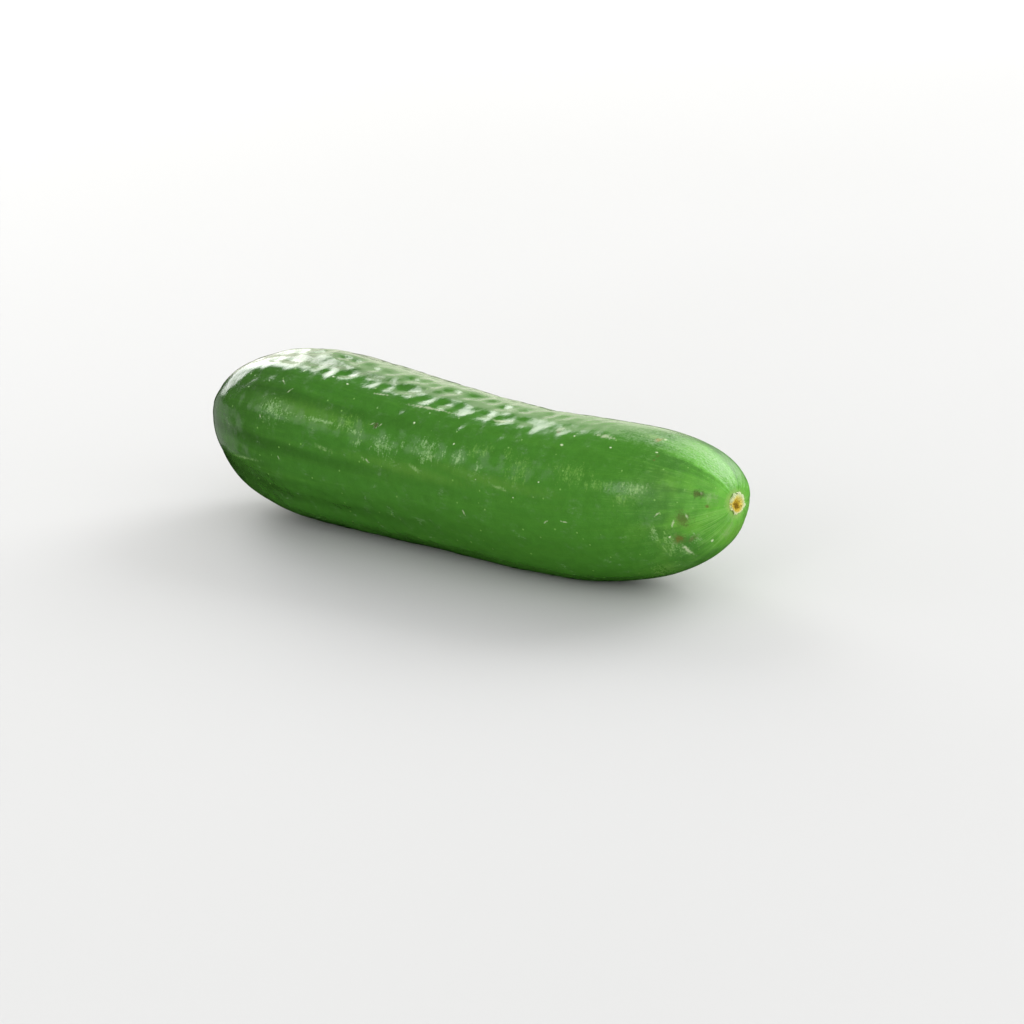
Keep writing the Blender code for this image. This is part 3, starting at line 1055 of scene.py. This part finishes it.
@dataclass(frozen=True)
class StemFinish:
    """Cut stem: ridged pale green sides, a dried rim, and a pale cut face with a ring of darker vessels."""

    side: Colour = (0.20, 0.30, 0.085)
    side_dark: Colour = (0.085, 0.150, 0.035)
    dried: Colour = (0.34, 0.25, 0.12)
    face: Colour = (0.50, 0.52, 0.27)
    pith: Colour = (0.62, 0.60, 0.38)
    vessel: Colour = (0.20, 0.19, 0.07)
    fibre_height: float = 0.06
    grain_height: float = 0.03
    roughness: float = 0.62

    def material(self, vessels: int, vessel_ring: float, vessel_size: float,
                 stub_radius: float) -> bpy.types.Material:
        """Make the stem's material.

        Args:
            vessels: How many bundles of vessels show in the cut.
            vessel_ring: Their distance from the middle, in millimetres.
            vessel_size: Half their width, in millimetres.
            stub_radius: The stem's radius, in millimetres.

        Returns:
            The material, on the piece's own coordinates in millimetres.
        """
        material, bench = new_material("cut_stem")
        place = bench.attribute("button")
        face = bench.attribute("cut_face", "Fac")
        x, y, z = bench.parts(place)
        flat = bench.scaled(place, (1.0, 1.0, 0.0))
        out = bench.vector("LENGTH", flat, output="Value")
        fibre = bench.noise(bench.scaled(place, (1.0, 1.0, 0.12)), 5.5, 3.0, 0.6)
        grain = bench.noise(place, 7.0, 3.0, 0.65)
        sides = bench.mix(bench.remap(fibre, 0.38, 0.64), self.side_dark, self.side)
        sides = bench.mix(bench.remap(z + (grain - 0.5) * 0.8, 0.55, 1.05) * 0.85, sides, self.dried)
        angle = bench.math("ARCTAN2", y, x)
        beat = bench.math("COSINE", angle * float(vessels))
        ring = abs(out - vessel_ring) / vessel_size + (1.0 - beat) * 1.1 + (grain - 0.5) * 1.2
        cut = bench.mix(bench.remap(out, 0.35 * stub_radius, 0.15 * stub_radius), self.face, self.pith)
        cut = bench.mix(bench.remap(ring, 1.35, 0.65) * 0.8, cut, self.vessel)
        rim = bench.remap(out + (grain - 0.5) * 0.5, 0.80 * stub_radius, 0.96 * stub_radius)
        cut = bench.mix(rim, cut, self.dried)
        colour = bench.mix(face, sides, cut)
        colour = bench.shade(colour, 1.0 + (grain - 0.5) * 0.45)
        height = (fibre * self.fibre_height + grain * self.grain_height) * MM
        close_material(bench, colour, self.roughness + (grain - 0.5) * 0.25, bench.bump(height))
        return material


@dataclass(frozen=True)
class FloorFinish:
    """Plain pale floor, very slightly uneven in tone, that glows white far off so that no horizon shows."""

    pale: Colour = (0.60, 0.60, 0.595)
    paler: Colour = (0.63, 0.63, 0.63)
    roughness: float = 0.7
    unevenness: float = 0.02 * MM
    white_from: tuple[float, float] = (0.40, 0.95)

    def material(self) -> bpy.types.Material:
        """Make the floor's material.

        Returns:
            The material, on Object coordinates.
        """
        material, bench = new_material("pale_floor")
        place = bench.out(bench.node("ShaderNodeTexCoord", {}), "Object")
        cloud = bench.noise(place, 6.0, 1.0, 0.5)
        far = bench.remap(bench.vector("LENGTH", place, output="Value"), *self.white_from)
        close_material(bench, bench.mix(cloud, self.pale, self.paler), self.roughness + (cloud - 0.5) * 0.1,
                       bench.bump(cloud * self.unevenness), Emission_Strength=far)
        return material


# Making pieces

def start_clean() -> None:
    """Leave edit mode and deselect everything, so that the next operator acts on its own piece alone."""
    if bpy.context.object is not None and bpy.context.object.mode != "OBJECT":
        bpy.ops.object.mode_set(mode="OBJECT")
    bpy.ops.object.select_all(action="DESELECT")


def read_points(piece: bpy.types.Object) -> np.ndarray:
    """Read a mesh's points.

    Args:
        piece: The mesh object.

    Returns:
        The points, one a row.
    """
    points = np.zeros(len(piece.data.vertices) * 3, np.float32)
    piece.data.vertices.foreach_get("co", points)
    return points.reshape(-1, 3).astype(float)


def move_points(piece: bpy.types.Object, points: np.ndarray) -> None:
    """Move a mesh's points."""
    piece.data.vertices.foreach_set("co", points.astype(np.float32).ravel())
    piece.data.update()


def read_normals(piece: bpy.types.Object) -> np.ndarray:
    """Read a mesh's point normals, one a row."""
    return np.array([normal.vector[:] for normal in piece.data.vertex_normals], float)


def keep_attribute(piece: bpy.types.Object, name: str, values: np.ndarray) -> None:
    """Store a number or a vector at each point of a mesh.

    Args:
        piece: The mesh object.
        name: The attribute's name, as the material reads it.
        values: One number or one row of three for each point.
    """
    is_vector = values.ndim == 2
    attribute = piece.data.attributes.new(name, "FLOAT_VECTOR" if is_vector else "FLOAT", "POINT")
    attribute.data.foreach_set("vector" if is_vector else "value", values.astype(np.float32).ravel())


def apply_modifier(piece: bpy.types.Object, kind: str, **settings: object) -> None:
    """Give a piece one modifier and apply it.

    Args:
        piece: The mesh object.
        kind: The modifier's type.
        settings: The modifier's own properties.
    """
    modifier = piece.modifiers.new(kind.title(), kind)
    for name, value in settings.items():
        setattr(modifier, name, value)
    bpy.context.view_layer.objects.active = piece
    bpy.ops.object.modifier_apply(modifier=modifier.name)


def pick_faces(piece: bpy.types.Object, wanted: Callable[[Vector, Vector], bool]) -> None:
    """Select faces in edit mode by their place and direction.

    Args:
        piece: The mesh object, which is in edit mode.
        wanted: Says of a face's middle and normal whether it is picked.
    """
    bpy.ops.mesh.select_mode(type="FACE")
    bpy.ops.mesh.select_all(action="DESELECT")
    shape = bmesh.from_edit_mesh(piece.data)
    for face in shape.faces:
        face.select_set(wanted(face.calc_center_median(), face.normal))
    bmesh.update_edit_mesh(piece.data)


def dress(piece: bpy.types.Object, name: str, node: str,
          material: bpy.types.Material) -> bpy.types.Object:
    """Name, shade and dress a finished piece, put it in place of its solid, and report it.

    Args:
        piece: The mesh object, with its place in its mesh.
        name: The piece's name.
        node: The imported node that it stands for.
        material: Its material.

    Returns:
        The piece.
    """
    piece.name = piece.data.name = name
    piece.data.materials.clear()
    piece.data.materials.append(material)
    piece.data.shade_smooth()
    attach(piece, "root")
    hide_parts(node)
    points = read_points(piece)
    triangles = sum(len(face.vertices) - 2 for face in piece.data.polygons)
    size = (points.max(axis=0) - points.min(axis=0)) / MM
    LOG.info("%s stands for %s: %d triangles, %.1f x %.1f x %.1f mm", name, node, triangles, *size)
    return piece


def keep_in_box(points: np.ndarray, margin: float = 0.002 * MM) -> np.ndarray:
    """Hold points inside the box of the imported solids.

    Args:
        points: One point a row.
        margin: How far inside the box they stay.

    Returns:
        The points, of which those outside are moved onto the box.
    """
    low, high = (np.array(corner) for corner in CAD_BOX)
    low = low + np.array([margin, margin, 0.0])
    held = np.clip(points, low, high - margin)
    LOG.info("held in the box: %d points, by up to %.3f mm",
             int((held != points).any(axis=1).sum()), float(np.abs(held - points).max()) / MM)
    return held


@dataclass
class Fruit:
    """The green fruit: a globe drawn out along the middle line, with all its relief."""

    line: MiddleLine
    outline: Outline = Outline()
    ribs: Ribs = Ribs()
    dimple_rows: DimpleRows = DimpleRows()
    dents: LittleDents = LittleDents()
    stem_hollow: Hollow = Hollow(5.2 * MM, 2.4 * MM)
    blossom_hollow: Hollow = Hollow(3.6 * MM, 0.62 * MM)
    relief_fade: float = 7.0 * MM
    shrink: float = 0.03 * MM              # keeps the fine relief inside the solid's box
    columns: int = 280
    rings: int = 340
    crowding: float = 1.4
    crowding_reach: float = 8.0 * MM
    crinkle: Ripple = Ripple(2.0 * MM, 5.0 * MM, seed=3)
    crinkle_height: float = 0.034 * MM
    crinkle_set_in: tuple[float, float] = (0.05, 0.20)
    crinkle_run_out: tuple[float, float] = (0.74, 0.90)
    crinkle_left: float = 0.10
    swell: Ripple = Ripple(9.0 * MM, 18.0 * MM, seed=8)
    swell_height: float = 0.05 * MM
    left_on_belly: float = 0.15
    belly: tuple[float, float] = (-0.85, -0.35)    # how far down a point looks: wholly belly, no longer belly
    furrow_limits: tuple[float, float] = (0.62, 0.18)
    stem_folds: Folds = Folds((10, 13, 17, 21, 27), 0.09 * MM, (1.8 * MM, 11.0 * MM), seed=2)
    blossom_folds: Folds = Folds((15, 19, 22, 26, 31), 0.016 * MM, (2.2 * MM, 10.0 * MM), seed=4)
    collar: Hollow = Hollow(4.2 * MM, 0.55 * MM)
    steepest: float = 2.0
    finish: SkinFinish = SkinFinish()

    def relief(self, along: np.ndarray, around: np.ndarray, straight: np.ndarray) -> np.ndarray:
        """Work out how high the skin stands over the plain outline.

        Args:
            along: Distance of each point along the fruit.
            around: Angle of each point around it.
            straight: The points on the straightened fruit.

        Returns:
            The height at each point.
        """
        share = along / self.outline.length
        radius = self.outline.radius(along)
        rows = self.dimple_rows
        off_belly = ease_between(np.sin(around), self.belly)
        off_belly = self.left_on_belly + (1.0 - self.left_on_belly) * off_belly
        dimpled = pressed_in(rows.dimples(self.outline.length), along, around, radius) * rows.strength(around)
        dimpled *= ease_between(share, rows.set_in) * (1.0 - ease_between(share, rows.run_out))
        dimpled += pressed_in(self.dents.dimples(self.outline.length), along, around, radius) * off_belly
        crinkled = ease_between(share, self.crinkle_set_in)
        crinkled *= 1.0 - ease_between(share, self.crinkle_run_out)
        crinkled *= (0.5 + 0.5 * rows.strength(around)) * off_belly
        crinkled = self.crinkle_left + (1.0 - self.crinkle_left) * crinkled
        fine = self.crinkle_height * self.crinkle.at(straight) * crinkled
        return self.ribs.raised(share, around) - dimpled + fine + self.swell_height * self.swell.at(straight)

    def skin(self, along: np.ndarray, around: np.ndarray) -> tuple[np.ndarray, dict[str, np.ndarray]]:
        """Work out the skin's points, with what the material needs to know at each.

        Args:
            along: Distance of each point along the fruit.
            around: Angle of each point around it.

        Returns:
            The points, and the attributes by name.
        """
        share = along / self.outline.length
        radius = self.outline.radius(along)
        straight = np.stack([along, radius * np.cos(around), radius * np.sin(around)], axis=1)
        relief = self.relief(along, around, straight)
        reach = radius + (relief - self.shrink) * ease(radius / self.relief_fade)
        at_stem = share < 0.5
        folds = np.where(at_stem, self.stem_folds.raised(around, radius),
                         self.blossom_folds.raised(around, radius))
        centre, forward, side, up = self.line.at(along)
        out = np.cos(around)[:, None] * side + np.sin(around)[:, None] * up
        inward = np.where(at_stem, self.stem_hollow.sunk(radius) - self.collar.sunk(radius),
                          -self.blossom_hollow.sunk(radius))
        inward += np.where(at_stem, 1.0, -1.0) * self.shrink
        inward += self.line.set_askew(share, reach * np.cos(around))
        facing = np.gradient(self.outline.radius(self.line.along), self.line.along)
        facing = np.clip(facing, -self.steepest, self.steepest)
        steep = np.arctan(np.interp(along, self.line.along, facing))
        points = centre + out * (reach + folds * np.cos(steep))[:, None]
        points += forward * (inward - folds * np.sin(steep))[:, None]
        points[:, 2] = np.maximum(points[:, 2], 0.0)
        in_furrow = ease_between(self.ribs.wave(share, around), self.furrow_limits)
        attributes = {
            "straight": straight,
            "spoke": np.stack([np.cos(around), np.sin(around), share], axis=1),
            "furrow": in_furrow * self.ribs.strength(share),
        }
        for kind in (kind for kind in MarkKind if kind.value.broad):
            away = [mark.away(straight / MM, self.outline) for mark in SKIN_MARKS if mark.kind is kind]
            attributes[kind.name.lower()] = np.min(away, axis=0)
        return points, attributes

    def build(self) -> bpy.types.Object:
        """Model the fruit and dress it.

        Returns:
            The fruit's skin.
        """
        start_clean()
        bpy.ops.mesh.primitive_uv_sphere_add(segments=self.columns, ring_count=self.rings, radius=1.0)
        piece = bpy.context.active_object
        start = read_points(piece)
        polar = np.arccos(np.clip(start[:, 2], -1.0, 1.0))
        ring = np.rint((1.0 - polar / pi) * self.rings).astype(int)
        places = self.outline.ring_places(self.rings + 1, self.crowding, self.crowding_reach)
        points, attributes = self.skin(places[ring], np.arctan2(start[:, 1], start[:, 0]))
        move_points(piece, keep_in_box(points))
        for name, values in attributes.items():
            keep_attribute(piece, name, values)
        return dress(piece, "fruit_skin", "fruit", self.finish.material(self.outline))


@dataclass
class FlowerRemnant:
    """The dried base of the flower: a crumbly ring round a sunken heart. Its own sizes are in millimetres."""

    line: MiddleLine
    ring_radius: float = 1.42
    ring_thickness: float = 0.30
    ring_height: float = -0.17
    ring_segments: tuple[int, int] = (64, 20)
    rim_crumbs: int = 21
    rim_crumb: tuple[float, float] = (0.20, 0.50)
    rim_crumb_shares: tuple[float, float] = (0.6, 1.0)
    rim_stagger: float = 0.3
    rim_out: tuple[float, float] = (0.02, 0.30)
    rim_rise: tuple[float, float] = (-0.08, 0.14)
    thick_side: float = radians(25)
    inner_crumbs: int = 16
    inner_crumb: tuple[float, float] = (0.20, 0.36)
    inner_spread: float = 1.1
    inner_out: tuple[float, float] = (0.45, 1.15)
    inner_rise: tuple[float, float] = (-0.20, 0.05)
    crumb_flatness: float = 0.8
    beak: tuple[float, float, float] = (1.72, 0.28, -0.10)
    beak_size: float = 0.40
    heart: tuple[float, float] = (-0.45, -0.10)
    heart_radius: float = 0.62
    heart_depths: tuple[float, float] = (0.02, -0.26)
    heart_reach: tuple[float, float] = (0.5, 1.2)
    bed_radius: float = 1.7
    bed_thickness: float = 0.36
    bed_height: float = -0.52
    bed_segments: tuple[int, int] = (48, 24)
    voxel: float = 0.055
    crumble: Ripple = Ripple(0.20, 0.50, seed=6)
    crumble_height: float = 0.065
    warp: Ripple = Ripple(0.9, 1.7, seed=17)
    warp_height: float = 0.11
    top: float = 0.36
    seed: int = 21
    finish: CorkFinish = CorkFinish()

    def add_crumb(self, place: tuple[float, float, float], size: float) -> bpy.types.Object:
        """Add one crumb, slightly flattened.

        Args:
            place: Its middle.
            size: Its radius.

        Returns:
            The crumb.
        """
        bpy.ops.mesh.primitive_ico_sphere_add(subdivisions=3, radius=size, location=place)
        crumb = bpy.context.active_object
        crumb.scale = (1.0, 1.0, self.crumb_flatness)
        return crumb

    def build(self) -> bpy.types.Object:
        """Model the remnant from a ring, a bed and crumbs, fused and roughened.

        Returns:
            The finished remnant.
        """
        draw = Random(self.seed)
        start_clean()
        around_ring, around_tube = self.ring_segments
        bpy.ops.mesh.primitive_torus_add(major_radius=self.ring_radius, minor_radius=self.ring_thickness,
                                         major_segments=around_ring, minor_segments=around_tube,
                                         location=(0.0, 0.0, self.ring_height))
        ring = bpy.context.active_object
        made = [ring]
        around_bed, down_bed = self.bed_segments
        bpy.ops.mesh.primitive_uv_sphere_add(segments=around_bed, ring_count=down_bed, radius=1.0,
                                             location=(0.0, 0.0, self.bed_height))
        bed = bpy.context.active_object
        bed.scale = (self.bed_radius, self.bed_radius, self.bed_thickness)
        made.append(bed)
        thin, thick = self.rim_crumb
        for number in range(self.rim_crumbs):
            turn = tau * (number + draw.uniform(-self.rim_stagger, self.rim_stagger)) / self.rim_crumbs
            towards_thick = 0.5 + 0.5 * cos(turn - self.thick_side)
            size = thin + (thick - thin) * towards_thick * draw.uniform(*self.rim_crumb_shares)
            out = self.ring_radius + draw.uniform(*self.rim_out)
            height = self.ring_height + draw.uniform(*self.rim_rise)
            made.append(self.add_crumb((out * cos(turn), out * sin(turn), height), size))
        for _ in range(self.inner_crumbs):
            turn = self.thick_side + draw.gauss(0.0, self.inner_spread)
            out = draw.uniform(*self.inner_out)
            height = self.ring_height + draw.uniform(*self.inner_rise)
            place = (out * cos(turn), out * sin(turn), height)
            if np.hypot(place[0] - self.heart[0], place[1] - self.heart[1]) > self.heart_radius:
                made.append(self.add_crumb(place, draw.uniform(*self.inner_crumb)))
        made.append(self.add_crumb(self.beak, self.beak_size))
        for piece in made:
            piece.select_set(True)
        bpy.context.view_layer.objects.active = ring
        bpy.ops.object.join()
        bpy.ops.object.transform_apply(location=True, rotation=True, scale=True)
        apply_modifier(ring, "REMESH", mode="VOXEL", voxel_size=self.voxel)
        apply_modifier(ring, "SMOOTH", factor=0.5, iterations=2)
        points = read_points(ring)
        roughened = self.crumble_height * self.crumble.at(points) + self.warp_height * self.warp.at(points)
        points += read_normals(ring) * roughened[:, None]
        points[:, 2] = np.minimum(points[:, 2], self.top)
        keep_attribute(ring, "button", points)
        away = np.hypot(points[:, 0] - self.heart[0], points[:, 1] - self.heart[1])
        sunk = ease_between(points[:, 2], self.heart_depths) * (1.0 - ease_between(away, self.heart_reach))
        keep_attribute(ring, "sunk", sunk)
        axes, pole = self.line.pole_axes(at_blossom=True)
        move_points(ring, keep_in_box(points * MM @ axes + pole))
        return dress(ring, "flower_base", "flower_remnant", self.finish.material())


@dataclass
class StemStub:
    """The cut stem: a short five-cornered peg, ribbed along its sides. Its own sizes are in millimetres."""

    line: MiddleLine
    radius: float = 2.0
    waist: float = 0.20
    corners: int = 5
    corner_height: float = 0.16
    root: float = -3.2                     # how deep it stands in the fruit, hidden
    top: float = 1.1
    slant: float = 0.25
    sides: int = 60
    side_rings: int = 14
    bare_from: float = -1.5
    face_insets: tuple[tuple[float, float], ...] = (
        (0.10, 0.05), (0.22, -0.10), (0.45, -0.05), (0.45, 0.04), (0.45, -0.08))
    face_turned: tuple[float, float] = (0.35, 0.75)
    ridges: Ripple = Ripple(0.35, 0.8, seed=9)
    ridge_height: float = 0.035
    ridge_squeeze: float = 0.15            # draws the ridges out along the stem
    face_height: float = 0.03
    vessels: int = 5
    vessel_ring: float = 1.22
    vessel_size: float = 0.24
    finish: StemFinish = StemFinish()

    def build(self) -> bpy.types.Object:
        """Model the stub from a cylinder whose cut face is inset in rings.

        Returns:
            The finished stub.
        """
        start_clean()
        height = self.top - self.root
        bpy.ops.mesh.primitive_cylinder_add(vertices=self.sides, radius=self.radius, depth=height,
                                            location=(0.0, 0.0, (self.top + self.root) / 2.0))
        piece = bpy.context.active_object
        bpy.ops.object.transform_apply(location=True, rotation=True, scale=True)
        bpy.ops.object.mode_set(mode="EDIT")
        pick_faces(piece, lambda middle, normal: normal.z > 0.9)
        for thickness, rise in self.face_insets:
            bpy.ops.mesh.inset(thickness=thickness, depth=rise)
        bpy.ops.mesh.poke()
        bpy.ops.mesh.select_mode(type="EDGE")
        bpy.ops.mesh.select_all(action="DESELECT")
        shape = bmesh.from_edit_mesh(piece.data)
        for edge in shape.edges:
            edge.select_set(abs(edge.verts[0].co.z - edge.verts[1].co.z) > height * 0.9)
        bmesh.update_edit_mesh(piece.data)
        bpy.ops.mesh.subdivide(number_cuts=self.side_rings)
        bpy.ops.object.mode_set(mode="OBJECT")
        apply_modifier(piece, "SUBSURF", levels=2, render_levels=2)
        points = read_points(piece)
        turn = np.arctan2(points[:, 1], points[:, 0])
        out = np.hypot(points[:, 0], points[:, 1])
        share = np.clip(out / self.radius, 0.0, 1.0)
        rise = np.clip((points[:, 2] - self.bare_from) / (self.top - self.bare_from), 0.0, 1.0)
        grow = self.corner_height * np.cos(self.corners * turn) - self.waist * np.sin(pi * rise)
        columns = np.stack([points[:, 0], points[:, 1], self.ridge_squeeze * points[:, 2]], axis=1)
        grow += self.ridge_height * self.ridges.at(columns)
        spread = 1.0 + grow / self.radius * share
        points[:, 2] += self.slant * rise * np.sin(turn) * share
        points[:, :2] *= spread[:, None]
        points[:, 2] += self.face_height * self.ridges.at(points) * ease_between(rise, (0.8, 1.0))
        points[:, 2] = np.minimum(points[:, 2], self.top + self.slant)
        move_points(piece, points)
        cut_face = ease_between(read_normals(piece)[:, 2], self.face_turned) * (points[:, 2] > 0.0)
        keep_attribute(piece, "button", points)
        keep_attribute(piece, "cut_face", cut_face)
        axes, pole = self.line.pole_axes(at_blossom=False)
        move_points(piece, keep_in_box(points * MM @ axes + pole))
        return dress(piece, "cut_stem", "stem_stub",
                     self.finish.material(self.vessels, self.vessel_ring, self.vessel_size, self.radius))


# The studio

WARM: Colour = (1.0, 0.985, 0.84)


@dataclass(frozen=True)
class Softbox:
    """A soft panel of light that faces the fruit.

    Its place and its half sizes are in degrees, and its way is counted from +X towards +Y.
    """

    name: str
    way: float
    elevation: float
    half_width: float
    half_height: float
    light: float               # brightness of its face
    mirrored: bool = True      # whether it shows in gloss
    tint: Colour = (1.0, 1.0, 1.0)
    distance: float = 1.6
    power: float = 4.0         # watts to a square metre of a face of brightness 1

    def add(self) -> None:
        """Hang the panel."""
        data = bpy.data.lights.new(self.name, "AREA")
        data.color = self.tint
        data.shape = "RECTANGLE"
        data.size = 2.0 * self.distance * tan(radians(self.half_width))
        data.size_y = 2.0 * self.distance * tan(radians(self.half_height))
        data.energy = self.power * self.light * data.size * data.size_y
        way, elevation = radians(self.way), radians(self.elevation)
        outward = Vector((cos(way) * cos(elevation), sin(way) * cos(elevation), sin(elevation)))
        panel = bpy.data.objects.new(self.name, data)
        bpy.context.scene.collection.objects.link(panel)
        facing = outward.to_track_quat("Z", "Y").to_matrix().to_4x4()
        panel.matrix_world = Matrix.Translation(outward * self.distance) @ facing
        panel.visible_camera = False
        panel.visible_glossy = self.mirrored


@dataclass(frozen=True)
class Studio:
    """Pale floor, soft panels and an even fill."""

    floor_size: float = 24.0
    floor_drop: float = 0.05 * MM
    sky: float = 0.76
    softboxes: tuple[Softbox, ...] = (
        Softbox("left_window", way=151, elevation=22, half_width=13, half_height=19, light=2.3),
        Softbox("left_window_heart", way=152, elevation=25, half_width=7, half_height=12, light=1.8),
        Softbox("left_glow", way=133, elevation=26, half_width=11, half_height=12, light=0.95, tint=WARM),
        Softbox("left_low", way=132, elevation=5, half_width=14, half_height=11, light=1.0, tint=WARM),
        Softbox("left_edge", way=172, elevation=-10, half_width=20, half_height=12, light=0.25),
        Softbox("right_window", way=73, elevation=31, half_width=18, half_height=14, light=2.6),
        Softbox("right_window_glow", way=84, elevation=25, half_width=28, half_height=22, light=1.25),
        Softbox("front_window", way=272, elevation=28, half_width=9, half_height=9, light=1.9),
        Softbox("side_window", way=210, elevation=27, half_width=13, half_height=10, light=0.6),
        Softbox("right_fill", way=345, elevation=24, half_width=28, half_height=22, light=0.9,
                mirrored=False),
        Softbox("front_fill", way=292, elevation=18, half_width=32, half_height=22, light=0.3,
                mirrored=False),
    )
    finish: FloorFinish = FloorFinish()

    def add_floor(self) -> None:
        """Lay the floor, which takes the fruit's shadow and lights it, but leaves its gloss alone."""
        start_clean()
        bpy.ops.mesh.primitive_plane_add(size=self.floor_size, location=(0.0, 0.0, -self.floor_drop))
        floor = bpy.context.active_object
        floor.name = "floor"
        bpy.ops.object.transform_apply(location=True, rotation=True, scale=True)
        floor.data.materials.append(self.finish.material())
        floor.visible_glossy = floor.visible_shadow = False

    def add_fill(self) -> None:
        """Fill the shade with an even sky that has no gloss of its own and looks white."""
        world = bpy.data.worlds.new("studio")
        world.use_nodes = True
        bpy.context.scene.world = world
        bench = NodeBench(world.node_tree)
        seen = bench.out(bench.node("ShaderNodeLightPath", {}), "Is Camera Ray")
        strength = seen * (1.0 - self.sky) + self.sky
        shown = bench.node("ShaderNodeBackground", {"Color": (1.0, 1.0, 1.0, 1.0), "Strength": strength})
        bench.node("ShaderNodeOutputWorld", {"Surface": bench.out(shown)})
        world.cycles_visibility.glossy = False

    def set_up(self) -> None:
        """Set up floor, light and tone."""
        self.add_floor()
        self.add_fill()
        for softbox in self.softboxes:
            softbox.add()
        view = bpy.context.scene.view_settings
        view.view_transform = "Standard"
        view.look = "None"


@dataclass(frozen=True)
class PhotoCamera:
    """The camera, as fitted to the photograph's 1024 x 1024 frame."""

    azimuth: float = radians(40.0)
    elevation: float = radians(18.0)
    roll: float = radians(-4.8)
    distance: float = 0.8
    subject: tuple[float, float, float] = (0.00085, 0.0039, 0.0182)
    subject_pixel: tuple[float, float] = (481.6, 450.0)
    focal_pixels: float = 4067.0
    frame_pixels: float = 1024.0
    sensor: float = 36.0

    def set_up(self) -> None:
        """Place the camera and make it the scene's."""
        back = Vector((sin(self.azimuth) * cos(self.elevation), -cos(self.azimuth) * cos(self.elevation),
                       sin(self.elevation)))
        level = (-back).cross(Vector((0.0, 0.0, 1.0))).normalized()
        upright = level.cross(-back)
        right = level * cos(self.roll) + upright * sin(self.roll)
        up = upright * cos(self.roll) - level * sin(self.roll)
        subject = Vector(self.subject)
        eye = subject + back * self.distance
        per_pixel = self.distance / self.focal_pixels
        across, down = (self.frame_pixels / 2.0 - pixel for pixel in self.subject_pixel)
        aim = subject + right * (across * per_pixel) - up * (down * per_pixel)
        ahead = (aim - eye).normalized()
        right = ahead.cross(up).normalized()
        data = bpy.data.cameras.new("photo_camera")
        data.sensor_width = self.sensor
        data.lens = self.focal_pixels / self.frame_pixels * self.sensor
        data.clip_start, data.clip_end = 0.01, 100.0
        camera = bpy.data.objects.new("photo_camera", data)
        bpy.context.scene.collection.objects.link(camera)
        turned = Matrix([right, right.cross(ahead), -ahead]).transposed().to_4x4()
        camera.matrix_world = Matrix.Translation(eye) @ turned
        bpy.context.scene.camera = camera


def main() -> None:
    """Build the pieces and the studio."""
    logging.basicConfig(level=logging.INFO, format="%(name)s: %(message)s")
    line = MiddleLine()
    PhotoCamera().set_up()
    Fruit(line).build()
    FlowerRemnant(line).build()
    StemStub(line).build()
    Studio().set_up()


if __name__ == "__main__":
    main()
